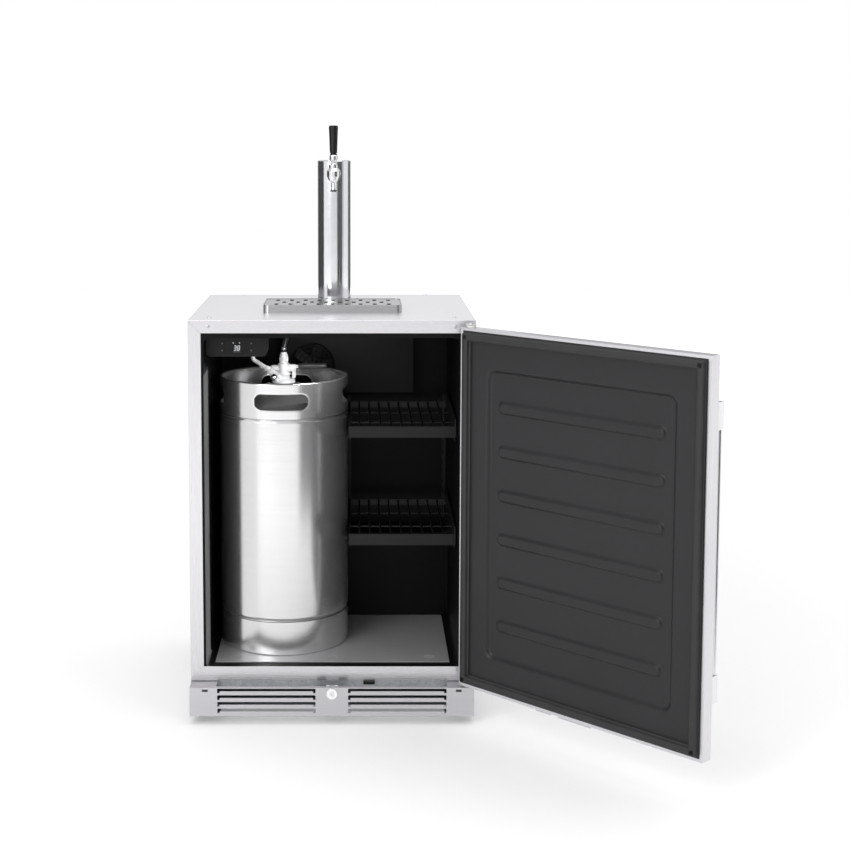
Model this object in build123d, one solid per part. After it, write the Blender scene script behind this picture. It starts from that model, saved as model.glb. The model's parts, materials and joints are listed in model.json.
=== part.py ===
# Undercounter kegerator: an insulated steel cabinet with a hinged door, a keg with its coupler,
# half shelves, a draft tower with its faucet, a drip tray and the refrigeration behind the step.
# Millimetres. X to the right, Y to the back, Z up. The origin is on the floor under the middle
# of the cabinet body. The door rests open.
from build123d import *
from math import atan2, cos, degrees, hypot, pi, radians, sin
import os

# ---- Cabinet ----
SIDE = 297.5                 # half the width of the cabinet
FRONT, BACK = -263.0, 263.0  # planes of the front frame and the back
TOP = 845.0                  # upper face of the top panel
BASE = 25.0                  # underside of the base pan
SHEET = 0.8
FACE = 1.2                   # front frame and top panel sheet
OPENING_SIDE = 270.0         # half the opening of the front frame
FRAME_LOW, OPENING_LOW, OPENING_HIGH = 81.0, 110.7, 818.0

# ---- Cold space ----
INSIDE = 265.0               # half the inner width
FLOOR, CEILING = 102.5, 808.0
INNER_BACK = 205.0
STEP_FRONT, STEP_TOP = 120.0, 300.0   # the step over the machine space
LINER = 1.2
CORNER = 14.0
PLATE = 1.5
MACHINE_FRONT, MACHINE_TOP = 150.0, 271.0
FOAM_LOW = 62.0

# ---- Door, drawn closed and then turned open about its pins ----
HINGE_X, HINGE_Y = 285.4, -292.5
DOOR_OPEN = 135.0
DOOR_FREE, DOOR_HINGE = -293.6, 297.4
DOOR_LOW, DOOR_HIGH = 84.0, 835.0
DOOR_FACE, DOOR_INNER = -304.0, -275.0
SKIN = 1.0
RIM = 6.0                    # steel rim round the inner liner
RECESS_WIDE, RECESS_LOW, RECESS_HIGH, RECESS_DEEP = 453.0, 157.0, 757.0, 8.0
RIB_COUNT, RIB_LONG, RIB_HIGH, RIB_STEP, RIB_FIRST = 6, 400.0, 26.4, 89.8, 77.0
GASKET_INSET, GASKET_WIDE, GASKET_DEEP = 8.0, 20.0, 11.0
PIN_R, BUSH_GAP = 4.0, 0.05
BUSH_R, BUSH_FLANGE_R = 7.0, 9.0
HANDLE_LOW, HANDLE_HIGH, POST_HIGH = 178.0, 743.5, 52.0
HANDLE_INSET, HANDLE_R, POST_WIDE, POST_OUT = 22.0, 6.0, 14.0, 42.0

# ---- Kickplate and lock ----
KICK_FACE, KICK_LOW, KICK_HIGH = -304.0, 17.5, 79.0
KICK_SIDE = 296.7
CORNER_WIDE = 55.0
NOTCH_X, NOTCH_WIDE, NOTCH_DEEP = 264.5, 12.0, 9.0
LOUVRE_ROWS, LOUVRE_TOP, LOUVRE_STEP = 4, 74.3, 14.4
LOUVRE_IN, LOUVRE_OUT, LOUVRE_HIGH = 34.0, 239.0, 6.0
LOCK_Z, LOCK_R, BARREL_R, PLUG_R = 66.0, 11.0, 9.0, 5.5
BOLT_LIFT = 9.0

# ---- Tower and faucet ----
TOWER_Y, TOWER_R, TOWER_WALL, TOWER_TOP = 147.0, 38.0, 1.5, 1166.0
FLANGE_R, FLANGE_HIGH = 55.0, 5.0
ROOF_HOLE_R = 26.0
TAP_Y, SHANK_Z = 60.0, 1137.0
LEVER_Z, BALL_R = 1156.0, 7.0

# ---- Drip tray ----
TRAY_WIDE, TRAY_LONG, TRAY_HIGH, TRAY_Y = 297.0, 137.0, 17.0, -62.5
TRAY_CORNER, TRAY_WALL, TRAY_LEDGE = 12.0, 1.5, 3.5
GRID_THICK = 2.0
SLOT_WIDE, SLOT_LONG, SLOT_PITCH, ROW_PITCH, SLOTS = 8.5, 28.0, 30.3, 44.0, 9

# ---- Keg and coupler ----
KEG_X, KEG_Y, KEG_R, KEG_LOW, KEG_HIGH = -109.2, -34.0, 141.3, 104.0, 698.0
KEG_WALL, CHIME_INNER = 1.5, 139.8
SEAM_LOW, SEAM_HIGH = 178.0, 620.0
HAND_HOLE_LONG, HAND_HOLE_HIGH, HAND_HOLE_Z = 122.0, 35.0, 657.5
VALVE_TOP = 680.0
COUPLER_R, NECK_R, NECK_TOP, PROBE_R = 13.0, 6.5, 747.0, 4.5
LEVER_PIVOT_X, LEVER_PIVOT_Z = 20.0, 712.0
BEER_R, GAS_R = 5.5, 4.5

# ---- Shelves ----
SHELF_LEFT, SHELF_RIGHT, SHELF_FRONT, SHELF_BACK = 35.0, 262.0, -203.0, 150.0
TRIM_HIGH, WIRE_R, WIRES = 24.0, 2.0, 9
SHELF_LEVELS = {"shelf_upper": 588.0, "shelf_lower": 356.0}

# ---- Feet ----
FOOT_X, FOOT_Y, FOOT_R, STUD_R = 258.0, 222.0, 19.0, 5.0

pieces = {}


# ---- Shapes used throughout ----
def block(x0, x1, y0, y1, z0, z1):
    """A box from its lowest to its highest corner."""
    middle = Pos((x0 + x1) / 2, (y0 + y1) / 2, (z0 + z1) / 2)
    return middle * Box(x1 - x0, y1 - y0, z1 - z0)


def upright_rod(radius, z0, z1, x=0.0, y=0.0):
    """A cylinder along Z."""
    return Pos(x, y, (z0 + z1) / 2) * Cylinder(radius, z1 - z0)


def deep_rod(radius, y0, y1, x=0.0, z=0.0):
    """A cylinder along Y."""
    return Pos(x, (y0 + y1) / 2, z) * Rot(90, 0, 0) * Cylinder(radius, y1 - y0)


def cross_rod(radius, x0, x1, y=0.0, z=0.0):
    """A cylinder along X."""
    return Pos((x0 + x1) / 2, y, z) * Rot(0, 90, 0) * Cylinder(radius, x1 - x0)


def upright_plate(outline, y0, y1, x=0.0, z=0.0):
    """A flat outline drawn in X and Z, as thick as from y0 to y1."""
    return Pos(x, y1, z) * Rot(90, 0, 0) * extrude(outline, y1 - y0)


def side_plate(points, x0, x1):
    """An outline given as (y, z) points, as thick as from x0 to x1."""
    outline = make_face(Polyline(*points, close=True))
    return extrude(Plane(origin=(x0, 0, 0), x_dir=(0, 1, 0), z_dir=(1, 0, 0)) * outline, x1 - x0)


def turned(points, x=0.0, y=0.0):
    """A turned piece about an upright axis, from (radius, z) points."""
    outline = Plane.XZ * make_face(Polyline(*points, close=True))
    return Pos(x, y, 0) * revolve(outline, Axis.Z)


def pipe(radius, points, radii):
    """A round pipe or hose: straight runs joined by tangent arcs."""
    path = FilletPolyline(*points, radius=radii)
    tube = sweep((path ^ 0) * Circle(radius), path=path)
    straight_volume = pi * radius**2 * path.length
    print("pipe", round(path.length), "mm long, radii", radii, "volume ratio",
          round(tube.volume / straight_volume, 4))
    return tube


def both_sides(shape):
    """The piece and its mirror image, left and right."""
    return [shape, mirror(shape, about=Plane.YZ)]


def hung(shape):
    """A door piece, turned from closed to its open rest position."""
    return Pos(HINGE_X, HINGE_Y, 0) * Rot(0, 0, DOOR_OPEN) * Pos(-HINGE_X, -HINGE_Y, 0) * shape


def keep(name, *solids):
    """Holds the solids of one sub-part until they are written."""
    pieces[name] = list(solids)


def less(shape, tools):
    """The shape with each tool cut out of it."""
    for tool in tools:
        shape = shape - tool
    return shape


# ---- Pipes and hoses, which other parts make way for ----
DRIER_X, COIL_Y = 172.0, 175.0
CONDENSER_Z, CONDENSER_STEP, CONDENSER_PASSES = 190.0, 28.0, 5
CONDENSER_LEFT, CONDENSER_RIGHT, CONDENSER_LEAD = -95.0, 105.0, 25.0
EVAPORATOR_Y, EVAPORATOR_Z, EVAPORATOR_STEP, EVAPORATOR_PASSES = 187.0, 641.0, 18.0, 8
EVAPORATOR_LEFT, EVAPORATOR_RIGHT = 40.0, 150.0
TUBE_R, CAPILLARY_R, DRIER_R = 4.0, 2.0, 12.0
COMPRESSOR_X, COMPRESSOR_Y, COMPRESSOR_R, COMPRESSOR_TOP = -190.0, 207.0, 50.0, 214.0
FOAM_PIPE_Y, MACHINE_PIPE_Z = 234.0, 245.0


def serpentine(first, other, y, z, step, passes):
    """The corners of a coil that runs to and fro across, pass by pass."""
    corners = []
    for i in range(passes):
        ends = (other, first) if i % 2 else (first, other)
        corners += [(x, y, z + i * step) for x in ends]
    return corners


EVAPORATOR_HIGH = EVAPORATOR_Z + EVAPORATOR_STEP * (EVAPORATOR_PASSES - 1)
EVAPORATOR_LEAD = EVAPORATOR_RIGHT + 10
CONDENSER_LOW = CONDENSER_Z - CONDENSER_STEP * (CONDENSER_PASSES - 1)
evaporator_passes = serpentine(
    EVAPORATOR_RIGHT, EVAPORATOR_LEFT, EVAPORATOR_Y, EVAPORATOR_Z, EVAPORATOR_STEP,
    EVAPORATOR_PASSES)
evaporator_tube = pipe(
    TUBE_R,
    [(EVAPORATOR_LEAD, EVAPORATOR_Y, EVAPORATOR_Z), *evaporator_passes[1:-1],
     (EVAPORATOR_LEAD, EVAPORATOR_Y, EVAPORATOR_HIGH)],
    EVAPORATOR_STEP * 0.49)
condenser_passes = serpentine(
    CONDENSER_LEFT, CONDENSER_RIGHT, COIL_Y, CONDENSER_Z, -CONDENSER_STEP, CONDENSER_PASSES)
CONDENSER_START, CONDENSER_END = CONDENSER_Z + 28, CONDENSER_RIGHT + 25
condenser_tube = pipe(
    TUBE_R,
    [(CONDENSER_LEFT, COIL_Y, CONDENSER_START), *condenser_passes[:-1],
     (CONDENSER_END, COIL_Y, CONDENSER_LOW)],
    12.0)
DISCHARGE_X, DISCHARGE_Y, DISCHARGE_Z = -175.0, 190.0, 252.0
SUCTION_X, SUCTION_DROP_X, LEAD_X = -200.0, 120.0, 176.0
DRIER_LOW, DRIER_HIGH = 105.0, 190.0
discharge_pipe = pipe(
    TUBE_R,
    [(DISCHARGE_X, DISCHARGE_Y, COMPRESSOR_TOP), (DISCHARGE_X, DISCHARGE_Y, DISCHARGE_Z),
     (CONDENSER_LEFT, COIL_Y, DISCHARGE_Z), (CONDENSER_LEFT, COIL_Y, CONDENSER_START)],
    14.0)
liquid_pipe = pipe(
    TUBE_R,
    [(CONDENSER_END, COIL_Y, CONDENSER_LOW), (DRIER_X, COIL_Y, CONDENSER_LOW),
     (DRIER_X, COIL_Y, DRIER_LOW)],
    12.0)
CAPILLARY_RISE = MACHINE_PIPE_Z - 15
capillary = pipe(
    CAPILLARY_R,
    [(DRIER_X, COIL_Y, DRIER_HIGH), (DRIER_X, COIL_Y, CAPILLARY_RISE),
     (DRIER_X, FOAM_PIPE_Y, CAPILLARY_RISE), (DRIER_X, FOAM_PIPE_Y, EVAPORATOR_Z),
     (DRIER_X, EVAPORATOR_Y, EVAPORATOR_Z), (EVAPORATOR_LEAD, EVAPORATOR_Y, EVAPORATOR_Z)],
    [12.0, 12.0, 12.0, 8.0])
suction_pipe = pipe(
    TUBE_R,
    [(EVAPORATOR_LEAD, EVAPORATOR_Y, EVAPORATOR_HIGH), (LEAD_X, EVAPORATOR_Y, EVAPORATOR_HIGH),
     (LEAD_X, FOAM_PIPE_Y, EVAPORATOR_HIGH), (SUCTION_DROP_X, FOAM_PIPE_Y, EVAPORATOR_HIGH),
     (SUCTION_DROP_X, FOAM_PIPE_Y, MACHINE_PIPE_Z), (SUCTION_X, FOAM_PIPE_Y, MACHINE_PIPE_Z),
     (SUCTION_X, FOAM_PIPE_Y, COMPRESSOR_TOP)],
    [12.0, 14.0, 14.0, 14.0, 14.0])
refrigerant_pipes = [discharge_pipe, liquid_pipe, capillary, suction_pipe]

BEER_RISE, BEER_TOWER_Y, BEER_TOP = 790.0, 150.0, 1105.0
beer_line = pipe(
    BEER_R,
    [(KEG_X, KEG_Y, NECK_TOP), (KEG_X, KEG_Y, BEER_RISE), (0, BEER_TOWER_Y, BEER_RISE),
     (0, BEER_TOWER_Y, BEER_TOP)],
    [40.0, 45.0])
GAS_X, GAS_START_Z, GAS_RISE, GAS_END_Y = KEG_X - 68, 738.0, 788.0, 195.0
gas_line = pipe(
    GAS_R,
    [(GAS_X, KEG_Y, GAS_START_Z), (GAS_X, KEG_Y, GAS_RISE), (GAS_X, GAS_END_Y, GAS_RISE)],
    [42.0])
BARB_R, BARB_START, BARB_END = 4.2, 275.0, 295.0
BULKHEAD_R, NUT_R, NUT_DEEP = 6.0, 11.0, 7.0
gas_bulkhead = [
    deep_rod(BULKHEAD_R, GAS_END_Y, BARB_START, GAS_X, GAS_RISE)
    + deep_rod(NUT_R, INNER_BACK - NUT_DEEP, INNER_BACK, GAS_X, GAS_RISE)
    + deep_rod(NUT_R, BACK, BACK + NUT_DEEP, GAS_X, GAS_RISE)
    + deep_rod(BARB_R, BARB_START, BARB_END, GAS_X, GAS_RISE)]

# ---- Screws, which the sheets also make way for ----
SCREW_R, SCREW_HEAD_R, SCREW_HEAD, SCREW_LONG = 2.0, 4.0, 1.8, 12.0
TOP_SCREWS = [(256, -213), (-256, -213), (214, 243), (-214, 243)]
FRAME_SCREW_X, FRAME_SCREW_Z = 255.0, 832.0
REAR_SCREWS = [(x, z) for x in (-275, 275) for z in (40, 258)]
FLANGE_SCREW_PITCH = 47.0


def screw_down(x, y, z):
    """A pan head screw driven down into the face at height z."""
    head = upright_rod(SCREW_HEAD_R, z, z + SCREW_HEAD, x, y)
    return upright_rod(SCREW_R, z - SCREW_LONG, z, x, y) + head


def screw_back(x, z, y, way):
    """A pan head screw driven into the upright face at y, towards way."""
    shank = sorted((y, y + way * SCREW_LONG))
    head = sorted((y, y - way * SCREW_HEAD))
    return deep_rod(SCREW_R, *shank, x, z) + deep_rod(SCREW_HEAD_R, *head, x, z)


flange_screws = []
for angle in (45, 135, 225, 315):
    across, deep = cos(radians(angle)), sin(radians(angle))
    flange_screws.append(screw_down(
        FLANGE_SCREW_PITCH * across, TOWER_Y + FLANGE_SCREW_PITCH * deep, TOP + FLANGE_HIGH))
top_screws = [screw_down(x, y, TOP) for x, y in TOP_SCREWS]
frame_screws = [screw_back(x, FRAME_SCREW_Z, FRONT, 1) for x in (-FRAME_SCREW_X, FRAME_SCREW_X)]
rear_screws = [screw_back(x, z, BACK, -1) for x, z in REAR_SCREWS]
screws = [*top_screws, *frame_screws, *rear_screws, *flange_screws]
keep("cabinet_screws", *screws)

# ---- Cabinet shell ----
sheet_inside = SIDE - SHEET
flush = sheet_inside - 0.1
frame_back = FRONT + FACE
roof = TOP - FACE
foot_places = [(-FOOT_X, -FOOT_Y), (FOOT_X, -FOOT_Y), (-FOOT_X, FOOT_Y), (FOOT_X, FOOT_Y)]
BOSS_R, BOSS_TOP, PAN_TOP = 9.0, 40.0, BASE + 1.5
DRAIN_HIGH, DRAIN_WALL = 50.0, 2.0


def base_pan():
    """The bottom sheet with turned up sides, four bosses for the feet and a drain tray."""
    pan = block(-flush, flush, frame_back, BACK - SHEET, BASE, PAN_TOP)
    for rim in both_sides(block(flush - FACE, flush, -225, 255, PAN_TOP, 60)):
        pan += rim
    for x, y in foot_places:
        pan += upright_rod(BOSS_R, PAN_TOP, BOSS_TOP, x, y)
    holes = [upright_rod(STUD_R + BUSH_GAP, BASE - 1, BOSS_TOP + 1, x, y) for x, y in foot_places]
    drain = block(120, 232, 160, 205, PAN_TOP, DRAIN_HIGH)
    drain -= block(120 + DRAIN_WALL, 232 - DRAIN_WALL, 160 + DRAIN_WALL, 205 - DRAIN_WALL,
                   PAN_TOP + DRAIN_WALL, DRAIN_HIGH + 1)
    return [less(pan, holes), drain]


keep("base_pan", *base_pan())
side_sheet = block(sheet_inside, SIDE, frame_back, BACK, BASE, roof)
side_sheet += block(sheet_inside - 11, sheet_inside, frame_back, frame_back + SHEET, OPENING_LOW, 836)
right_side, left_side = both_sides(side_sheet)
keep("side_panel_right", right_side)
keep("side_panel_left", left_side)
back_sheet = block(-flush, flush, BACK - SHEET, BACK, MACHINE_TOP, roof)
keep("back_panel", *less(back_sheet, gas_bulkhead).solids())
roof_hole = upright_rod(ROOF_HOLE_R, CEILING - 5, TOP + 1, 0, TOWER_Y)
roof_sheet = block(-SIDE, SIDE, FRONT, BACK, roof, TOP)
keep("top_panel", *less(roof_sheet, [roof_hole, *top_screws, *flange_screws]).solids())

PLATE_LOW, PLATE_HIGH = 838.0, 841.0   # the top hinge plates
TONGUE_X = 274.5
tongue_slot = block(TONGUE_X, flush, FRONT - 1, frame_back + 1, PLATE_LOW, PLATE_HIGH)


def mitre_line(outer_z, inner_z, side):
    """A fine groove along one mitred corner of the front frame."""
    across, rise = SIDE - OPENING_SIDE, outer_z - inner_z
    middle = Pos(side * (SIDE + OPENING_SIDE) / 2, FRONT, (outer_z + inner_z) / 2)
    tilt = -degrees(atan2(rise, side * across))
    return middle * Rot(0, tilt, 0) * Box(hypot(across, rise) + 2, 0.6, 0.5)


def front_frame():
    """The polished frame round the opening."""
    frame = block(-SIDE, SIDE, FRONT, frame_back, FRAME_LOW, roof)
    frame -= block(-OPENING_SIDE, OPENING_SIDE, FRONT - 1, frame_back + 1, OPENING_LOW, OPENING_HIGH)
    corners = ((roof, OPENING_HIGH), (FRAME_LOW, OPENING_LOW))
    lines = [mitre_line(outer, inner, side) for outer, inner in corners for side in (-1, 1)]
    return less(frame, [tongue_slot, *frame_screws, *lines])


keep("front_frame", *front_frame().solids())

SHROUD = 0.8
UPSTAND_BACK, UPSTAND_TOP = frame_back + 1.2, 93.8


def machine_shroud():
    """The bent sheet under the floor foam and round the machine space."""
    low, high = FOAM_LOW - SHROUD, MACHINE_TOP
    shroud = block(-flush, flush, UPSTAND_BACK - SHROUD, MACHINE_FRONT + SHROUD, low, FOAM_LOW)
    shroud += block(-flush, flush, UPSTAND_BACK - SHROUD, UPSTAND_BACK, low, UPSTAND_TOP)
    shroud += block(-flush, flush, MACHINE_FRONT, MACHINE_FRONT + SHROUD, low, high)
    shroud += block(-flush, flush, MACHINE_FRONT, BACK - SHEET, high - SHROUD, high)
    return less(shroud, refrigerant_pipes)


keep("machine_shroud", *machine_shroud().solids())


# ---- Liner and foam ----
def cold_space(grow=0.0):
    """The inside of the cabinet, over and in front of the machine step."""
    width = 2 * (INSIDE + grow)
    low, high, step = FLOOR - grow, CEILING + grow, STEP_TOP - grow
    tall = RectangleRounded(width, high - low, CORNER + grow)
    short = RectangleRounded(width, high - step, CORNER + grow)
    return (upright_plate(tall, frame_back, STEP_FRONT + grow, 0, (low + high) / 2)
            + upright_plate(short, frame_back, INNER_BACK + grow, 0, (step + high) / 2))


cold_air = cold_space()
flange = block(-OPENING_SIDE - 5, OPENING_SIDE + 5, frame_back, frame_back + LINER,
               UPSTAND_TOP + 0.2, OPENING_HIGH + 8)
liner = cold_space(LINER) + flange - cold_air
keep("inner_liner", *less(liner, [roof_hole, *refrigerant_pipes, *gas_bulkhead]).solids())

outer, wall = sheet_inside, INSIDE + LINER
foam_front, foam_back = frame_back + LINER, BACK - SHEET
floor_under, ceiling_over, step_under = FLOOR - LINER, CEILING + LINER, STEP_TOP - LINER
foam_slabs = [
    *both_sides(block(wall, outer, foam_front, MACHINE_FRONT, FOAM_LOW, roof)),
    *both_sides(block(wall, outer, MACHINE_FRONT, foam_back, MACHINE_TOP, roof)),
    block(-wall, wall, foam_front, foam_back, ceiling_over, roof),
    block(-wall, wall, foam_front, MACHINE_FRONT, FOAM_LOW, floor_under),
    block(-wall, wall, STEP_FRONT + LINER, MACHINE_FRONT, floor_under, step_under),
    block(-wall, wall, MACHINE_FRONT, foam_back, MACHINE_TOP, step_under),
    block(-wall, wall, INNER_BACK + LINER, foam_back, step_under, ceiling_over)]
hinge_plate_room = block(245, sheet_inside, frame_back, -199, PLATE_LOW, PLATE_HIGH)
ways = [roof_hole, *refrigerant_pipes, *gas_bulkhead, *screws, *both_sides(hinge_plate_room)]
keep("insulation_foam", *[s for slab in foam_slabs for s in less(slab, ways).solids()])

# ---- Floor plate ----
FLOOR_SIDE, FLOOR_FRONT, FLOOR_SLOT_Y = 250.0, -213.0, -181.0
floor_plate = block(-FLOOR_SIDE, FLOOR_SIDE, FLOOR_FRONT, STEP_FRONT - 2, FLOOR, FLOOR + PLATE)
for x in (-208, 0, 208):
    for y in (FLOOR_SLOT_Y - 5, FLOOR_SLOT_Y + 5):
        floor_plate -= Pos(x, y, FLOOR - 1) * extrude(SlotOverall(24, 4), 4)
keep("floor_plate", floor_plate)

# ---- Evaporator, its fan and cover ----
FAN_X, FAN_Z, FAN_R = -51.0, 690.0, 55.0
COVER_FRONT, COVER_LOW, COVER_HIGH, COVER_LEFT, COVER_RIGHT = 158.0, 625.0, 782.0, -120.0, 184.0
COVER_WALL = 1.5
GRILLE_RINGS = (11, 22, 33, 44)


def evaporator_cover():
    """The box over the evaporator, with a ring grille for its fan and slots along the top."""
    back = COVER_FRONT + COVER_WALL
    cover = block(COVER_LEFT, COVER_RIGHT, COVER_FRONT, INNER_BACK, COVER_LOW, COVER_HIGH)
    cover -= block(COVER_LEFT + COVER_WALL, COVER_RIGHT - COVER_WALL, back, INNER_BACK + 1,
                   COVER_LOW + COVER_WALL, COVER_HIGH - COVER_WALL)
    cover -= deep_rod(FAN_R, COVER_FRONT - 1, back + 1, FAN_X, FAN_Z)
    for i in range(10):
        outlet = extrude(SlotOverall(20, 8), 4)
        cover -= Pos(COVER_LEFT + 30 + i * 27, 182, COVER_HIGH - 3) * outlet
    grille = deep_rod(FAN_R, COVER_FRONT, back) - deep_rod(FAN_R - 3, COVER_FRONT - 1, back + 1)
    for ring in GRILLE_RINGS:
        grille += (deep_rod(ring + 1, COVER_FRONT, back)
                   - deep_rod(ring - 1, COVER_FRONT - 1, back + 1))
    for i in range(4):
        grille += Rot(0, i * 45, 0) * block(1 - FAN_R, FAN_R - 1, COVER_FRONT, back, -1, 1)
    return cover + Pos(FAN_X, 0, FAN_Z) * grille


keep("evaporator_cover", *evaporator_cover().solids())


def fin_pack(xs, y, deep, z0, z1, tube):
    """Thin fins that a coil's tube runs through."""
    fins = [block(x, x + 0.6, y - deep, y + deep, z0, z1) - tube for x in xs]
    return [s for fin in fins for s in fin.solids()]


keep("evaporator_coil", evaporator_tube,
     *fin_pack(range(56, 141, 7), EVAPORATOR_Y, 11, 632, 776, evaporator_tube))


def fan(hub_r, blade_r, bore_r, y0, y1, blades, wide):
    """A fan about the Y axis: a bored hub with pitched blades."""
    wheel = deep_rod(hub_r, y0, y1)
    reach = (hub_r + blade_r) / 2 - 2
    for i in range(blades):
        blade = Pos(reach, (y0 + y1) / 2, 0) * Rot(25, 0, 0) * Box(blade_r - hub_r + 4, 1.5, wide)
        wheel += Rot(0, i * 360 / blades, 0) * blade
    return wheel - deep_rod(bore_r, y0 - 1, y1 + 1)


SHAFT_R = 3.0
cold_motor = deep_rod(18, 184, INNER_BACK) + deep_rod(SHAFT_R, 168, 184)
keep("evaporator_fan_motor", Pos(FAN_X, 0, FAN_Z) * cold_motor)
cold_fan = fan(10, 46, SHAFT_R + BUSH_GAP, 169, 181, 5, 22)
keep("evaporator_fan_blade", Pos(FAN_X, 0, FAN_Z) * cold_fan)

# ---- Control panel ----
PANEL_LEFT, PANEL_RIGHT, PANEL_FACE, PANEL_BACK, PANEL_LOW = -264.0, -136.0, -218.0, -150.0, 763.0
display = block(-224, -174, PANEL_FACE, PANEL_FACE + 1.5, 769, 799)
KEYS = [(x, z) for x in (-229.5, -168.5) for z in (776, 791)]


def control_housing():
    """The box under the ceiling at the left, with four touch keys round the display."""
    high = CEILING + 5
    outline = RectangleRounded(PANEL_RIGHT - PANEL_LEFT, high - PANEL_LOW, 9)
    housing = upright_plate(outline, PANEL_FACE, PANEL_BACK, (PANEL_LEFT + PANEL_RIGHT) / 2,
                            (PANEL_LOW + high) / 2)
    housing = (housing & cold_air) - display
    for x, z in KEYS:
        housing += deep_rod(3.5, PANEL_FACE - 0.5, PANEL_FACE, x, z)
    return housing


keep("control_housing", *control_housing().solids())
keep("control_display", display)


# ---- Shelves ----
def shelf(z):
    """A wire half shelf: deep front trim, two rails, a raised guard at the right and the wires."""
    trim_back, guard_left = SHELF_FRONT + 6, SHELF_RIGHT - 3
    rail_front, rail_right = SHELF_BACK - 4, SHELF_LEFT + 3
    guard = [(SHELF_FRONT, z), (SHELF_BACK, z), (SHELF_BACK, z + 44), (-120, z + 44),
             (SHELF_FRONT + 8, z + 38), (SHELF_FRONT, z + TRIM_HIGH)]
    rack = [block(SHELF_LEFT, guard_left, SHELF_FRONT, trim_back, z, z + TRIM_HIGH),
            block(SHELF_LEFT, guard_left, rail_front, SHELF_BACK, z + 4, z + 18),
            block(SHELF_LEFT, rail_right, trim_back, rail_front, z + 4, z + 18),
            side_plate(guard, guard_left, SHELF_RIGHT)]
    for i in range(1, WIRES + 1):
        x = SHELF_LEFT + (SHELF_RIGHT - SHELF_LEFT) * i / (WIRES + 1)
        rack.append(deep_rod(WIRE_R, trim_back, rail_front, x, z + 14))
    for y in (-80, 40):
        rack.append(cross_rod(WIRE_R, rail_right, guard_left, y, z + 14 - 2 * WIRE_R))
    return rack


for name, level in SHELF_LEVELS.items():
    keep(name, *shelf(level))

ARM_WIDE, STRIP_LOW, STRIP_HIGH, STRIP_SLOTS = 2.0, 318.0, 612.0, 12


def shelf_standard(x, rise):
    """A slotted strip on the back wall, and a tapered arm under each shelf."""
    back = INNER_BACK - 2
    strip = block(x - 5, x + 3, back, INNER_BACK, STRIP_LOW, STRIP_HIGH)
    for i in range(STRIP_SLOTS):
        z = STRIP_LOW + 12 + i * 23
        strip -= block(x - 4, x - 2, back - 1, INNER_BACK + 1, z, z + 12)
    arms = [side_plate([(-180, top), (back, top), (back, top - 46), (-180, top - 12)], x, x + ARM_WIDE)
            for top in (level + rise for level in SHELF_LEVELS.values())]
    return [strip, *arms]


keep("shelf_brackets", *shelf_standard(SHELF_LEFT + 0.5, 4), *shelf_standard(SHELF_RIGHT - 2.5, 0))

# ---- Kickplate ----
KICK_BACK, KICK_LIP, LOUVRE_HOOK = -230.0, 8.0, 5.0
FRONT_OF_FRAME = FRONT - 0.2


def louvre(z):
    """One air slot whose ends hook down."""
    wide = LOUVRE_OUT - LOUVRE_IN
    middle = (LOUVRE_OUT + LOUVRE_IN) / 2
    slot = upright_plate(RectangleRounded(wide, LOUVRE_HIGH, 2.5), KICK_FACE - 1, KICK_FACE + 2,
                         middle, z)
    for x in (LOUVRE_IN, LOUVRE_OUT - LOUVRE_HOOK):
        slot += block(x, x + LOUVRE_HOOK, KICK_FACE - 1, KICK_FACE + 2, z - 7, z)
    return slot


def kickplate():
    """The folded plate in front of the feet, with air slots, corner ledges and a lock hole."""
    back = KICK_FACE + FACE
    kick = block(-KICK_SIDE, KICK_SIDE, KICK_FACE, back, KICK_LOW, KICK_HIGH)
    kick += block(-KICK_SIDE, KICK_SIDE, KICK_FACE, back + KICK_LIP, KICK_HIGH - FACE, KICK_HIGH)
    fold = block(KICK_SIDE - FACE, KICK_SIDE, KICK_FACE, FRONT_OF_FRAME, KICK_LOW, KICK_HIGH)
    fold += block(KICK_SIDE - FACE, KICK_SIDE, FRONT_OF_FRAME, KICK_BACK, PAN_TOP + 3, 60)
    ledge = block(KICK_SIDE - CORNER_WIDE, KICK_SIDE, KICK_FACE, FRONT_OF_FRAME,
                  KICK_HIGH - FACE, KICK_HIGH)
    for side in [*both_sides(fold), *both_sides(ledge)]:
        kick += side
    cuts = [deep_rod(BARREL_R + 0.1, KICK_FACE - 1, back + 1, 0, LOCK_Z),
            upright_rod(PIN_R, KICK_HIGH - 3, KICK_HIGH + 1, HINGE_X, HINGE_Y)]
    notch = block(NOTCH_X - NOTCH_WIDE / 2, NOTCH_X + NOTCH_WIDE / 2, KICK_FACE - 1, back,
                  KICK_HIGH - NOTCH_DEEP, KICK_HIGH + 1)
    cuts += both_sides(notch)
    for i in range(LOUVRE_ROWS):
        cuts += both_sides(louvre(LOUVRE_TOP - i * LOUVRE_STEP))
    return less(kick, cuts)


keep("kickplate", *kickplate().solids())

# ---- Lock: a turning plug lifts a bolt into the strike under the door ----
BOLT = block(-5, 5, -288, -282, 54, 77)
GUIDE_GAP = 0.1


def lock_housing():
    """The flanged barrel in the kickplate, with the guide for the bolt behind it."""
    body = deep_rod(LOCK_R, KICK_FACE - 2.5, KICK_FACE, 0, LOCK_Z)
    body += deep_rod(BARREL_R, KICK_FACE, -290, 0, LOCK_Z)
    body += block(-12, 12, -290, -279, 56, 76)
    way = block(-5 - GUIDE_GAP, 5 + GUIDE_GAP, -288 - GUIDE_GAP, -282 + GUIDE_GAP, 50, 80)
    bore = deep_rod(PLUG_R + BUSH_GAP, KICK_FACE - 4, -290, 0, LOCK_Z)
    return less(body, [way, bore])


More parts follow.
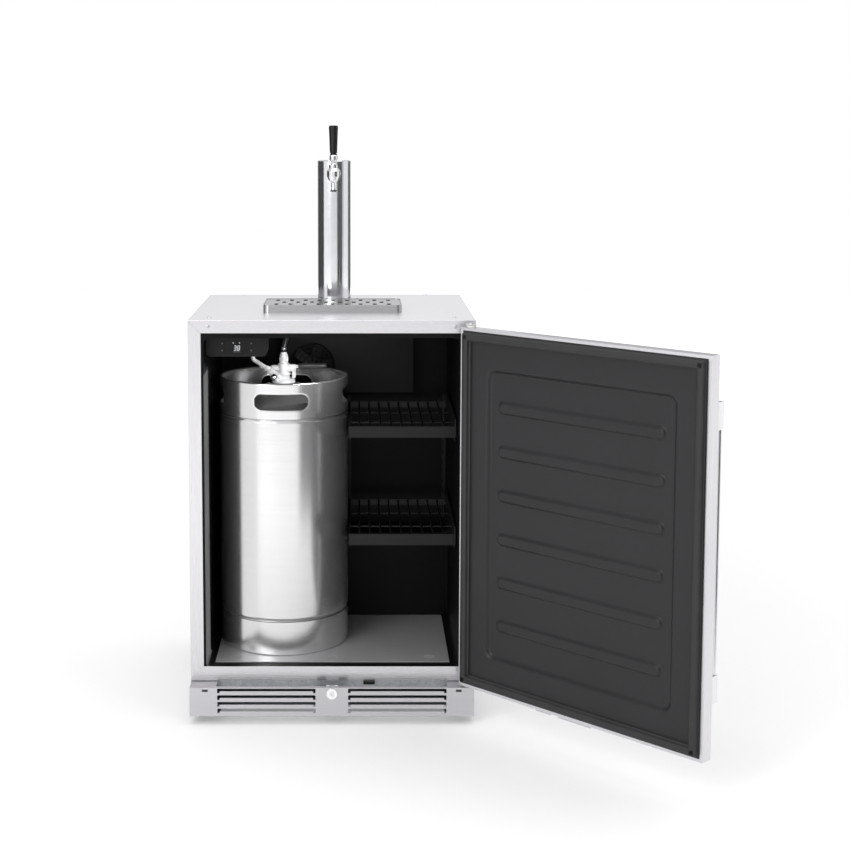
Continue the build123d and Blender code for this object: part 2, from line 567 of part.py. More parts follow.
plug = deep_rod(PLUG_R, KICK_FACE - 3, -290.3, 0, LOCK_Z)
keyway = block(-0.8, 0.8, KICK_FACE - 4, KICK_FACE + 1, LOCK_Z - 3.5, LOCK_Z + 3.5)
keep("lock_housing", *lock_housing().solids())
keep("lock_cylinder", plug - keyway)
keep("lock_bolt", BOLT)

# ---- Hinge plates and pins on the cabinet, and the door switch ----
LOW_PLATE = (KICK_HIGH - FACE - 3, KICK_HIGH - FACE)


def hinge_plates():
    """Top and bottom plates at both corners, as the door can be hung on either side."""
    tongue = block(TONGUE_X + 0.5, flush - 0.3, HINGE_Y - 7, -240, PLATE_LOW, PLATE_HIGH)
    top_right = block(247, flush - 0.3, frame_back + 0.2, -200, PLATE_LOW, PLATE_HIGH) + tongue
    top_left = block(-flush + 0.3, -247, frame_back + 0.2, -200, PLATE_LOW, PLATE_HIGH)
    bottom = block(243, KICK_SIDE - FACE - 0.2, KICK_FACE + FACE + 0.2, UPSTAND_BACK - SHROUD,
                   *LOW_PLATE)
    bottom += block(243, KICK_SIDE - FACE - 0.2, UPSTAND_BACK - SHROUD - 3, UPSTAND_BACK - SHROUD,
                    45, LOW_PLATE[1])
    pin_ways = [upright_rod(PIN_R, 60, 90, HINGE_X, HINGE_Y),
                upright_rod(PIN_R, PLATE_LOW - 1, PLATE_HIGH + 1, HINGE_X, HINGE_Y)]
    made = []
    for plate in [top_right, top_left, *both_sides(bottom)]:
        made += less(plate, [*pin_ways, *top_screws]).solids()
    return made


LOW_PIN = upright_rod(PIN_R, 70, 97, HINGE_X, HINGE_Y) + upright_rod(6, 68, 70, HINGE_X, HINGE_Y)
HIGH_PIN = (upright_rod(PIN_R, 818, PLATE_HIGH, HINGE_X, HINGE_Y)
            + upright_rod(6, PLATE_HIGH, PLATE_HIGH + 2, HINGE_X, HINGE_Y))
keep("hinge_plates", *hinge_plates(), LOW_PIN, HIGH_PIN)
keep("door_switch", block(66, 90, -272, UPSTAND_BACK - SHROUD, 75, FRAME_LOW))

# ---- Machine space ----
FAN_Y, FAN_BELOW_X, FAN_BELOW_Z = 196.0, 10.0, 120.0


def compressor():
    """A welded steel can on a mounting plate with four rubber feet."""
    can = turned([(0, 44), (42, 44), (COMPRESSOR_R, 54), (COMPRESSOR_R, COMPRESSOR_TOP - 14),
                  (40, COMPRESSOR_TOP), (0, COMPRESSOR_TOP)], COMPRESSOR_X, COMPRESSOR_Y)
    plate = block(COMPRESSOR_X - 62, COMPRESSOR_X + 62, COMPRESSOR_Y - 48, COMPRESSOR_Y + 48, 42, 44)
    feet = [upright_rod(8, PAN_TOP, 42, COMPRESSOR_X + x, COMPRESSOR_Y + y)
            for x in (-52, 52) for y in (-38, 38)]
    return [*(can + plate).solids(), *feet]


def drier():
    """The filter drier, a copper can that narrows to its pipes."""
    return turned([(0, DRIER_LOW), (5, DRIER_LOW), (DRIER_R, DRIER_LOW + 12),
                   (DRIER_R, DRIER_HIGH - 12), (4, DRIER_HIGH), (0, DRIER_HIGH)], DRIER_X, COIL_Y)


keep("compressor", *compressor())
keep("condenser_coil", condenser_tube,
     *fin_pack(range(-66, 85, 8), COIL_Y, 13, 62, 204, condenser_tube))
keep("refrigerant_pipes", *refrigerant_pipes, drier())
warm_motor = deep_rod(26, FAN_Y + 20, FAN_Y + 50, FAN_BELOW_X, FAN_BELOW_Z)
warm_motor += deep_rod(SHAFT_R, FAN_Y, FAN_Y + 20, FAN_BELOW_X, FAN_BELOW_Z)
warm_motor += block(FAN_BELOW_X - 8, FAN_BELOW_X + 8, FAN_Y + 28, FAN_Y + 42, PAN_TOP, FAN_BELOW_Z)
keep("condenser_fan_motor", warm_motor)
warm_fan = fan(15, 68, SHAFT_R + BUSH_GAP, FAN_Y + 1, FAN_Y + 15, 5, 34)
keep("condenser_fan_blade", Pos(FAN_BELOW_X, 0, FAN_BELOW_Z) * warm_fan)

INLET_X, INLET_Z = 235.0, 60.0
inlet = block(INLET_X - 15, INLET_X + 15, BACK - 14, BACK + 2, INLET_Z - 12, INLET_Z + 12)


def rear_cover():
    """The louvred cover of the machine space, with the appliance inlet let into it."""
    cover = block(-flush, flush, BACK - SHEET, BACK, PAN_TOP + 0.5, MACHINE_TOP - 1)
    for i in range(13):
        for x in (-140, 0, 140):
            slot = upright_plate(SlotOverall(110, 6), BACK - 2, BACK + 1, x, 75 + i * 14)
            cover -= slot
    return less(cover, [inlet, *rear_screws])


socket = block(INLET_X - 12, INLET_X + 12, BACK - 11, BACK + 3, INLET_Z - 8, INLET_Z + 8)
contacts = [block(INLET_X + x - 1, INLET_X + x + 1, BACK - 12, BACK - 3, INLET_Z + z - 3, INLET_Z + z + 3)
            for x, z in ((-7, -2), (0, 2), (7, -2))]
power_inlet = inlet - socket
for contact in contacts:
    power_inlet += contact
keep("rear_cover", *rear_cover().solids())
keep("power_inlet", power_inlet)

# ---- Levelling feet ----
for number, (x, y) in enumerate(foot_places, 1):
    foot = turned([(0, 0), (FOOT_R, 0), (FOOT_R, 5), (FOOT_R - 6, 8), (8, 8), (8, 13),
                   (STUD_R, 13), (STUD_R, 57), (0, 57)], x, y)
    keep(f"levelling_foot_{number}", foot)

# ---- Door ----
door_mid = (DOOR_FREE + DOOR_HINGE) / 2
recess_mid = (RECESS_LOW + RECESS_HIGH) / 2
RECESS_FLOOR = DOOR_INNER - RECESS_DEEP
LINER_THICK = 2.0
bolt_way = block(-8, 8, -291, -281, DOOR_LOW - 3, DOOR_LOW + 4)
bushes = [upright_rod(BUSH_R, DOOR_LOW - 1, DOOR_LOW + 16, HINGE_X, HINGE_Y),
          upright_rod(BUSH_R, DOOR_HIGH - 18, DOOR_HIGH + 1, HINGE_X, HINGE_Y)]


def door_skin():
    """The steel pan of the door, with a rim turned in round the liner."""
    pan = block(DOOR_FREE, DOOR_HINGE, DOOR_FACE, DOOR_INNER, DOOR_LOW, DOOR_HIGH)
    pan = fillet(pan.faces().sort_by(Axis.Y)[0].edges(), 2)
    inside = block(DOOR_FREE + SKIN, DOOR_HINGE - SKIN, DOOR_FACE + SKIN, DOOR_INNER - SKIN,
                   DOOR_LOW + SKIN, DOOR_HIGH - SKIN)
    window = block(DOOR_FREE + RIM, DOOR_HINGE - RIM, DOOR_INNER - 2, DOOR_INNER + 1,
                   DOOR_LOW + RIM, DOOR_HIGH - RIM)
    return less(pan, [inside, window, bolt_way, *bushes])


def door_liner():
    """The moulded inner face of the door, with a shallow recess and pressed ribs."""
    back = DOOR_INNER - LINER_THICK
    liner = block(DOOR_FREE + RIM, DOOR_HINGE - RIM, back, DOOR_INNER,
                  DOOR_LOW + RIM, DOOR_HIGH - RIM)
    high = RECESS_HIGH - RECESS_LOW
    edge = 2 * LINER_THICK
    tray = RectangleRounded(RECESS_WIDE + edge, high + edge, 22)
    liner += upright_plate(tray, RECESS_FLOOR - LINER_THICK, DOOR_INNER, door_mid, recess_mid)
    recess = RectangleRounded(RECESS_WIDE, high, 20)
    liner -= upright_plate(recess, RECESS_FLOOR, DOOR_INNER + 1, door_mid, recess_mid)
    for i in range(RIB_COUNT):
        z = RECESS_HIGH - RIB_FIRST - i * RIB_STEP
        rib = SlotOverall(RIB_LONG, RIB_HIGH)
        liner += upright_plate(rib, RECESS_FLOOR, RECESS_FLOOR + 5, door_mid, z)
    return liner


def door_foam():
    """The foam of the door: a slab behind the recess and four bars round it."""
    left, right = DOOR_FREE + SKIN, DOOR_HINGE - SKIN
    low, high = DOOR_LOW + SKIN, DOOR_HIGH - SKIN
    slab_back, bar_back = RECESS_FLOOR - LINER_THICK, DOOR_INNER - LINER_THICK
    tray_left = door_mid - RECESS_WIDE / 2 - LINER_THICK
    tray_right = door_mid + RECESS_WIDE / 2 + LINER_THICK
    tray_low, tray_high = RECESS_LOW - LINER_THICK, RECESS_HIGH + LINER_THICK
    slabs = [block(left, right, DOOR_FACE + SKIN + 1, slab_back, low, high),
             block(left, tray_left, slab_back, bar_back, low, high),
             block(tray_right, right, slab_back, bar_back, low, high),
             block(tray_left, tray_right, slab_back, bar_back, low, tray_low),
             block(tray_left, tray_right, slab_back, bar_back, tray_high, high)]
    return [s for slab in slabs for s in less(slab, [bolt_way, *bushes]).solids()]


def door_gasket():
    """The magnetic gasket: a flat base and a rounded bellows in front of it."""
    wide = DOOR_HINGE - DOOR_FREE - 2 * GASKET_INSET
    high = DOOR_HIGH - DOOR_LOW - 2 * GASKET_INSET
    middle = (DOOR_LOW + DOOR_HIGH) / 2
    ring = None
    for inset, y0, y1 in ((0, 0, 5), (3, 5, GASKET_DEEP)):
        out = RectangleRounded(wide - 2 * inset, high - 2 * inset, 6)
        hole = RectangleRounded(wide - 2 * GASKET_WIDE + 2 * inset,
                                high - 2 * GASKET_WIDE + 2 * inset, 3)
        tier = upright_plate(out - hole, DOOR_INNER + y0, DOOR_INNER + y1, door_mid, middle)
        ring = tier if ring is None else ring + tier
    return ring


def door_handle():
    """A round bar between two posts on the door face, near its free edge."""
    x = DOOR_FREE + HANDLE_INSET
    half = POST_WIDE / 2
    bar_y = DOOR_FACE - POST_OUT + half
    handle = upright_rod(HANDLE_R, HANDLE_LOW + POST_HIGH / 2, HANDLE_HIGH - POST_HIGH / 2, x, bar_y)
    for low in (HANDLE_LOW, HANDLE_HIGH - POST_HIGH):
        post = block(x - half, x + half, DOOR_FACE - POST_OUT, DOOR_FACE, low, low + POST_HIGH)
        handle += fillet(post.faces().sort_by(Axis.Y)[0].edges(), 3)
    return handle


def door_bushes():
    """Two flanged nylon bushes that turn on the hinge pins."""
    low = upright_rod(BUSH_R, DOOR_LOW, DOOR_LOW + 16) + upright_rod(
        BUSH_FLANGE_R, KICK_HIGH + 0.2, DOOR_LOW)
    high = upright_rod(BUSH_R, DOOR_HIGH - 18, DOOR_HIGH) + upright_rod(
        BUSH_FLANGE_R, DOOR_HIGH, PLATE_LOW - 0.2)
    bore = upright_rod(PIN_R + BUSH_GAP, KICK_HIGH - 1, PLATE_HIGH)
    return [Pos(HINGE_X, HINGE_Y, 0) * (bush - bore) for bush in (low, high)]


STRIKE_LOW = KICK_HIGH + 0.6
strike = block(-39, 39, -294, -278, DOOR_LOW - 1.5, DOOR_LOW) - bolt_way
strike += block(-39, 39, -294, -292.5, STRIKE_LOW, DOOR_LOW - 1.5)
strike += block(-39, 39, -279.5, -278, STRIKE_LOW, DOOR_LOW - 1.5)
magnet = block(58.4, 94.4, -290, -277, DOOR_LOW - 3.6, DOOR_LOW)
keep("door_skin", hung(door_skin()))
keep("door_liner", hung(door_liner()))
keep("door_foam", *[hung(s) for s in door_foam()])
keep("door_gasket", hung(door_gasket()))
keep("door_handle", hung(door_handle()))
keep("door_bushes", *[hung(bush) for bush in door_bushes()])
keep("door_strike", hung(strike), hung(magnet))

# ---- Draft tower and faucet ----
shank_hole = deep_rod(8.1, 60, TOWER_Y, 0, SHANK_Z)


def tower():
    """The tower tube with its welded cap, and the flange that holds it down."""
    inner = TOWER_R - TOWER_WALL
    tube = turned([(inner, TOP + FLANGE_HIGH), (TOWER_R, TOP + FLANGE_HIGH), (TOWER_R, TOWER_TOP - 2),
                   (TOWER_R - 2, TOWER_TOP), (0, TOWER_TOP), (0, TOWER_TOP - 3), (inner, TOWER_TOP - 3)],
                  0, TOWER_Y)
    base = turned([(ROOF_HOLE_R, TOP), (FLANGE_R, TOP), (FLANGE_R, TOP + FLANGE_HIGH - 1),
                   (FLANGE_R - 1, TOP + FLANGE_HIGH), (ROOF_HOLE_R, TOP + FLANGE_HIGH)], 0, TOWER_Y)
    return [tube - shank_hole, less(base, flange_screws)]


def faucet_shank():
    """The shank through the tower wall, with its collar, its nut inside and its bent tail."""
    shank = deep_rod(8, 90, 128, 0, SHANK_Z) + deep_rod(15, 99, 109, 0, SHANK_Z)
    shank += deep_rod(13, 113, 119, 0, SHANK_Z)
    shank -= deep_rod(3.5, 89, 120, 0, SHANK_Z)
    tail = pipe(BEER_R, [(0, 128, SHANK_Z), (0, BEER_TOWER_Y, SHANK_Z), (0, BEER_TOWER_Y, BEER_TOP)],
                [18.0])
    return shank + tail


def faucet_body():
    """The chromed faucet: coupling nut, barrel, spout, ball seat and side boss."""
    body = turned([(3, 1097), (6.5, 1097), (4.6, 1106), (5.6, 1117), (11, 1122), (15, 1131),
                   (15, 1143), (10.5, 1150), (10.5, 1157), (0, 1157), (0, 1110), (3, 1110)], 0, TAP_Y)
    body += deep_rod(10, TAP_Y, 90, 0, SHANK_Z)
    body += turned_nut()
    body -= Pos(0, TAP_Y, LEVER_Z) * Sphere(BALL_R + 0.3)
    body -= deep_rod(3.6, TAP_Y + 3, 90.5, 0, SHANK_Z)
    return body - deep_rod(8.0, 90, 100, 0, SHANK_Z)


def turned_nut():
    """The knurled coupling nut that pulls the faucet onto its shank."""
    nut = deep_rod(16, 82, 98.5, 0, SHANK_Z)
    for i in range(24):
        nut -= Pos(0, 0, SHANK_Z) * Rot(0, i * 15, 0) * deep_rod(1.2, 84, 97, 16.4, 0)
    return nut


lever = Sphere(BALL_R) + upright_rod(4, 0, 12)
lever += turned([(0, 9), (7, 9), (9, 12), (9, 21), (7.6, 23), (0, 23)])
HANDLE_START, HANDLE_END = 1179.0, 1245.0
grip = turned([(0, HANDLE_START), (8, HANDLE_START), (10.4, HANDLE_END - 1.5), (9, HANDLE_END),
               (0, HANDLE_END)], 0, TAP_Y)
keep("tower_tube", *tower())
keep("faucet_shank", *faucet_shank().solids())
keep("faucet_body", *faucet_body().solids())
keep("faucet_lever", Pos(0, TAP_Y, LEVER_Z) * lever)
keep("tap_handle", grip)
keep("faucet_valve", deep_rod(2.5, TAP_Y + 6, 104, 0, SHANK_Z) + deep_rod(3.4, 94, 97, 0, SHANK_Z))


# ---- Drip tray ----
def tray_outline(inset):
    """The tray's rounded outline, drawn in by inset."""
    return RectangleRounded(TRAY_WIDE - 2 * inset, TRAY_LONG - 2 * inset, TRAY_CORNER - inset)


def drip_tray():
    """The tray, with a ledge inside its rim that carries the grid."""
    rim_low = TOP + TRAY_HIGH - GRID_THICK - 1
    tray = Pos(0, TRAY_Y, TOP) * extrude(tray_outline(0), TRAY_HIGH)
    tray -= Pos(0, TRAY_Y, rim_low) * extrude(tray_outline(TRAY_WALL), TRAY_HIGH)
    return tray - Pos(0, TRAY_Y, TOP + 2) * extrude(tray_outline(TRAY_WALL + TRAY_LEDGE), TRAY_HIGH)


def drip_grid():
    """The plate over the tray, with three staggered rows of slots."""
    grid = extrude(tray_outline(TRAY_WALL + 0.3), GRID_THICK)
    for row in (-1, 0, 1):
        count = SLOTS - (row == 0)
        for i in range(count):
            x = (i - (count - 1) / 2) * SLOT_PITCH
            slot = extrude(SlotOverall(SLOT_LONG, SLOT_WIDE, rotation=90), GRID_THICK + 2)
            grid -= Pos(x, row * ROW_PITCH * 0.9, -1) * slot
    return Pos(0, TRAY_Y, TOP + TRAY_HIGH - GRID_THICK - 1) * grid


keep("drip_tray", drip_tray())
keep("drip_grid", drip_grid())


# ---- Keg ----
def keg_body(inset):
    """The barrel of the keg with its two domes, drawn in by inset."""
    dome, wall = CHIME_INNER - 0.2 - inset, KEG_R - inset
    low, high = 118.0 + inset, 674.0 - inset
    bottom = ThreePointArc((0, low), (90, low + 18), (dome, SEAM_LOW))
    side = Polyline((dome, SEAM_LOW), (wall, SEAM_LOW + inset), (wall, SEAM_HIGH - inset), (dome, SEAM_HIGH))
    top = ThreePointArc((dome, SEAM_HIGH), (90, high - 17), (0, high))
    outline = make_face([bottom, side, top, Line((0, high), (0, low))])
    return revolve(Plane.XZ * outline, Axis.Z)


def chime(z_seam, z_rim, bead):
    """A rolled ring at one end of the keg."""
    way = 1 if z_rim > z_seam else -1
    inner = z_rim - way * bead
    return turned([(CHIME_INNER, z_seam), (KEG_R, z_seam), (KEG_R, z_rim - way), (KEG_R - 1, z_rim),
                   (CHIME_INNER - 3, z_rim), (CHIME_INNER - 3, inner), (CHIME_INNER, inner)])


def keg():
    """The keg: sealed barrel with its neck valve, and the two rings with hand holes."""
    neck = turned([(6, 640), (28, 640), (28, VALVE_TOP - 2), (26, VALVE_TOP), (6, VALVE_TOP)])
    barrel = keg_body(0) - keg_body(KEG_WALL)
    barrel -= upright_rod(28, 630, 700)
    upper = chime(SEAM_HIGH, KEG_HIGH, 4)
    for turn in (0, 90):
        hole = upright_plate(SlotOverall(HAND_HOLE_LONG, HAND_HOLE_HIGH), -200, 200, 0, HAND_HOLE_Z)
        upper -= Rot(0, 0, turn) * hole
    lower = chime(SEAM_LOW, KEG_LOW, 4)
    return [*barrel.solids(), neck, upper, lower]


keg_place = Pos(KEG_X, KEG_Y, 0)
keep("keg", *[keg_place * s for s in keg()])


# ---- Keg coupler, drawn about the keg's own axis ----
GAS_ARM = ((-12, 694), (-68, 731))
GAS_ARM_R = 4.5
RELIEF_STEM_R = 2.5
PROBE_PLAY = 0.1
relief_place = Pos(0, 0, 694) * Rot(0, 0, 225)


def coupler_body():
    """The coupler: foot on the valve, barrel, yoke, relief boss and the angled gas arm."""
    body = turned([(0, VALVE_TOP), (25, VALVE_TOP), (25, VALVE_TOP + 6), (22, VALVE_TOP + 8),
                   (COUPLER_R, VALVE_TOP + 8), (COUPLER_R, 722), (NECK_R, 724), (NECK_R, NECK_TOP),
                   (0, NECK_TOP)])
    body += block(-28, 12, -8, 8, 706, 718)
    for y in (-9, 5):
        body += block(0, LEVER_PIVOT_X + 7, y, y + 4, LEVER_PIVOT_Z - 7, LEVER_PIVOT_Z + 7)
    body += relief_place * cross_rod(5.5, 4, 21)
    (low_x, low_z), (bend_x, bend_z) = GAS_ARM
    body += pipe(GAS_ARM_R, [(low_x, 0, low_z), (bend_x, 0, bend_z), (bend_x, 0, GAS_START_Z)], [7.0])
    rise = degrees(atan2(bend_z - low_z, low_x - bend_x))
    body += Pos(low_x, 0, low_z) * Rot(0, rise, 0) * cross_rod(7, -24, -8)
    probe_bore = upright_rod(PROBE_R + PROBE_PLAY, VALVE_TOP - 1, NECK_TOP - 1)
    return less(body, [probe_bore, relief_place * cross_rod(RELIEF_STEM_R + PROBE_PLAY, 2, 22)])


def coupler_handle():
    """The lever: a hub between the cheeks of the coupler, a steel arm and a black grip."""
    lever = deep_rod(6, -4.6, 4.6, LEVER_PIVOT_X, LEVER_PIVOT_Z)
    lever += cross_rod(3.5, LEVER_PIVOT_X + 3, 34, 0, LEVER_PIVOT_Z + 3)
    return lever + cross_rod(6, 32, 95, 0, LEVER_PIVOT_Z + 4)


def relief_valve():
    """The pull knob of the pressure relief valve, with its stem in the boss."""
    return relief_place * (cross_rod(RELIEF_STEM_R, 8, 26) + Pos(29, 0, 0) * Sphere(8))


coupler_place = Pos(KEG_X, KEG_Y, 0)
keep("coupler_body", *[coupler_place * s for s in coupler_body().solids()])
keep("coupler_handle", *[coupler_place * s for s in coupler_handle().solids()])
keep("coupler_probe", coupler_place * upright_rod(PROBE_R, 650, 732))
keep("relief_valve", *[coupler_place * s for s in relief_valve().solids()])
keep("beer_line", beer_line)
keep("gas_line", gas_line)
keep("gas_bulkhead", *gas_bulkhead)

os.makedirs("parts", exist_ok=True)
for name, solids in pieces.items():
    export_step(solids[0] if len(solids) == 1 else Compound(children=solids), f"parts/{name}.step")
print(len(pieces), "sub-parts")
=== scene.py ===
import json
from math import cos, hypot, pi, radians, sin, sqrt

import bmesh
import bpy
from mathutils import Matrix, Vector


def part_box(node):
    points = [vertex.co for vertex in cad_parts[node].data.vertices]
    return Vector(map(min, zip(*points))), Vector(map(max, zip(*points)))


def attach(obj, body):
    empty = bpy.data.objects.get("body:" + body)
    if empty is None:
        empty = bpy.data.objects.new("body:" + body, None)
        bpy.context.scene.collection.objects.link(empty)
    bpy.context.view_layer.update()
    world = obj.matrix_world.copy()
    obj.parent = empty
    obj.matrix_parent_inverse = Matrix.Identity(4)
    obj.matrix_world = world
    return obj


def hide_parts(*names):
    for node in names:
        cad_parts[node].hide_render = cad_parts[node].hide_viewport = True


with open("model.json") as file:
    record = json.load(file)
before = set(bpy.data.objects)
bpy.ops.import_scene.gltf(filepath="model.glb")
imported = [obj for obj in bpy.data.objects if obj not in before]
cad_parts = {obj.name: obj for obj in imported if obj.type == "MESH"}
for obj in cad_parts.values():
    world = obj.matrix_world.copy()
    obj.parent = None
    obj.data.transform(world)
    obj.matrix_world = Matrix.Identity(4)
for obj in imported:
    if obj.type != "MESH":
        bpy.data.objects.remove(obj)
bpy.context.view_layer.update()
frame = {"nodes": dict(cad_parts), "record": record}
nodes = frame["nodes"]
record = frame["record"]

# ---- Places read from the frame ----
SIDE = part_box("side_panel_right")[1].x
FRONT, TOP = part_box("front_frame")[0].y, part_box("top_panel")[1].z
FRAME_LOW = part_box("front_frame")[0].z
PANEL_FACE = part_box("control_housing")[0].y
keg_low, keg_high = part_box("keg")
keg_mid = (keg_low + keg_high) / 2
keg_centre = Vector((keg_mid.x, keg_mid.y, 0.0))
KEG_R = (keg_high.x - keg_low.x) / 2

door_joint = next(j for j in record["behaviour"]["joints"] if j["name"] == "door_hinge")
pivot = Vector(door_joint["pos_m"])
DOOR_OPEN = radians(-door_joint["range_deg"][0])
door_place = (Matrix.Translation(pivot) @ Matrix.Rotation(DOOR_OPEN, 4, "Z")
              @ Matrix.Translation(-pivot))


def closed_box(node):
    """The box of a door node when the door is shut."""
    back = door_place.inverted()
    points = [back @ v.co for v in nodes[node].data.vertices]
    low = Vector(min(p[i] for p in points) for i in range(3))
    high = Vector(max(p[i] for p in points) for i in range(3))
    return low, high


# ---- Camera: as high as the tap, in front of the cabinet ----
SENSOR_WIDE = 36.0           # millimetres
LENS_SHARE = 1.868           # focal length over sensor width
CAMERA_AT = Vector((0.0507, -3.5084, 1.2322))
PITCH = 0.1044
SHIFT_X, SHIFT_Y = 0.081, -0.15


def make_camera():
    """A long lens, pitched down a little, with the rest of the drop left to its shift."""
    data = bpy.data.cameras.new("camera")
    data.sensor_width = SENSOR_WIDE
    data.lens = LENS_SHARE * data.sensor_width
    data.shift_x, data.shift_y = SHIFT_X, SHIFT_Y
    camera = bpy.data.objects.new("camera", data)
    camera.location = CAMERA_AT
    camera.rotation_euler = (pi / 2 - PITCH, 0.0, 0.0)
    bpy.context.scene.collection.objects.link(camera)
    bpy.context.scene.camera = camera


make_camera()


# ---- Materials ----
class Nodes:
    """Short calls that add nodes to a tree."""

    def __init__(self, tree):
        self.tree = tree

    def node(self, kind, **inputs):
        """A node, with values or links for its named inputs."""
        made = self.tree.nodes.new(kind)
        for key, value in inputs.items():
            self.feed(made.inputs[key.replace("_", " ")], value)
        return made

    def feed(self, socket, value):
        """Links an output to the socket, or sets its value."""
        if isinstance(value, bpy.types.NodeSocket):
            self.tree.links.new(value, socket)
        else:
            socket.default_value = value

    def maths(self, operation, first, second):
        """One arithmetic step."""
        made = self.node("ShaderNodeMath")
        made.operation = operation
        self.feed(made.inputs[0], first)
        self.feed(made.inputs[1], second)
        return made.outputs[0]


class Surface(Nodes):
    """One material: a Principled shader and short calls that add detail to it."""

    def __init__(self, name, colour, metallic, roughness, **sockets):
        self.material = bpy.data.materials.new(name)
        self.material.use_nodes = True
        super().__init__(self.material.node_tree)
        self.shader = self.tree.nodes["Principled BSDF"]
        self.colour = (*colour, 1.0)
        self.shader.inputs["Base Color"].default_value = self.colour
        self.shader.inputs["Metallic"].default_value = metallic
        self.shader.inputs["Roughness"].default_value = roughness
        for key, value in sockets.items():
            self.shader.inputs[key.replace("_", " ")].default_value = value
        self.normal = None

    def place(self, stretch=(1, 1, 1)):
        """Object coordinates, in metres, stretched along each axis."""
        mapping = self.node("ShaderNodeMapping", Scale=stretch)
        coordinates = self.node("ShaderNodeTexCoord")
        self.tree.links.new(coordinates.outputs["Object"], mapping.inputs["Vector"])
        return mapping.outputs["Vector"]

    def noise(self, scale, detail=3.0, stretch=(1, 1, 1), roughness=0.5):
        """A noise value over the surface."""
        made = self.node("ShaderNodeTexNoise", Vector=self.place(stretch), Scale=scale,
                         Detail=detail, Roughness=roughness)
        return made.outputs["Fac"]

    def cells(self, scale):
        """A cell pattern's distance over the surface."""
        made = self.node("ShaderNodeTexVoronoi", Vector=self.place(), Scale=scale)
        return made.outputs["Distance"]

    def spread(self, value, low, high, from_low=0.3, from_high=0.7):
        """The value carried over to run from low to high."""
        made = self.node("ShaderNodeMapRange", Value=value, From_Min=from_low, From_Max=from_high,
                         To_Min=low, To_Max=high)
        return made.outputs["Result"]

    def together(self, first, second, share):
        """Two values added up, the first by its share and the second by the rest."""
        return self.maths("ADD", self.maths("MULTIPLY", first, share),
                          self.maths("MULTIPLY", second, 1 - share))

    def mixed(self, factor, first, second):
        """A colour between two, by a factor."""
        made = self.node("ShaderNodeMix")
        made.data_type = "RGBA"
        self.feed(made.inputs["Factor"], factor)
        self.feed(made.inputs[6], first)
        self.feed(made.inputs[7], second)
        return made.outputs[2]

    def rough(self, value):
        """The shader's roughness follows the value."""
        self.feed(self.shader.inputs["Roughness"], value)
        return self

    def paint(self, factor, other):
        """The colour varies between the surface's own and another."""
        self.feed(self.shader.inputs["Base Color"], self.mixed(factor, self.colour, (*other, 1.0)))
        return self

    def bump(self, height, strength, distance=0.0002):
        """Relief from a height value, on top of any relief before it."""
        made = self.node("ShaderNodeBump", Height=height, Strength=strength, Distance=distance)
        if self.normal:
            self.tree.links.new(self.normal, made.inputs["Normal"])
        self.normal = made.outputs["Normal"]
        self.tree.links.new(self.normal, self.shader.inputs["Normal"])
        return self

    def soften(self, radius):
        """Rounds the look of sharp edges."""
        made = self.node("ShaderNodeBevel", Radius=radius)
        made.samples = 4
        self.normal = made.outputs["Normal"]
        self.tree.links.new(self.normal, self.shader.inputs["Normal"])
        return self


STEEL = (0.70, 0.69, 0.71)
GRAIN, GRAIN_LONG = 1400.0, 14.0         # noise per metre across the scratches and along them
FINE_SHARE, RING_SHARE = 0.72, 0.65      # how much the finer of two patterns counts


def shaded(colour, share):
    """The colour made darker or lighter."""
    return tuple(c * share for c in colour)


def brushed(name, colour, roughness, grain, strength=0.25, soft=0.0006, metallic=1.0):
    """Stainless steel with a brushed grain; grain gives the stretch of the scratches per axis."""
    made = Surface(name, colour, metallic, roughness).soften(soft)
    fine = made.noise(1.0, 2.0, grain)
    coarse = made.noise(1.0, 2.0, shaded(grain, 0.25))
    cloudy = made.noise(5.0, 3.0)
    lines = made.together(fine, coarse, FINE_SHARE)
    made.rough(made.spread(made.maths("ADD", lines, made.maths("MULTIPLY", cloudy, 0.25)),
                           roughness - 0.05, roughness + 0.09, 0.45, 0.8))
    made.paint(made.spread(lines, 0.0, 1.0), shaded(colour, 0.93))
    return made.bump(lines, strength, 0.00006)


def grain_along(axis):
    """Scratches that run along X, Y or Z."""
    return tuple(GRAIN_LONG if i == axis else GRAIN for i in range(3))


def frame_steel(name):
    """The front frame: the grain runs across on the rails and up on the stiles, to the mitres."""
    made = Surface(name, shaded(STEEL, 0.97), 1.0, 0.26).soften(0.0007)
    across = made.noise(1.0, 2.0, grain_along(0))
    upright = made.noise(1.0, 2.0, grain_along(2))
    apart = made.node("ShaderNodeSeparateXYZ", Vector=made.place())
    to_side = made.maths("SUBTRACT", SIDE, made.maths("ABSOLUTE", apart.outputs["X"], 0.0))
    to_roof = made.maths("SUBTRACT", TOP, apart.outputs["Z"])
    to_sill = made.maths("SUBTRACT", apart.outputs["Z"], FRAME_LOW)
    on_stile = made.maths("LESS_THAN", to_side, made.maths("MINIMUM", to_roof, to_sill))
    lines = made.node("ShaderNodeMix", Factor=on_stile, A=across, B=upright).outputs["Result"]
    made.rough(made.spread(lines, 0.22, 0.33))
    made.paint(made.spread(lines, 0.0, 1.0), (0.64, 0.63, 0.65))
    return made.bump(lines, 0.25, 0.00006)


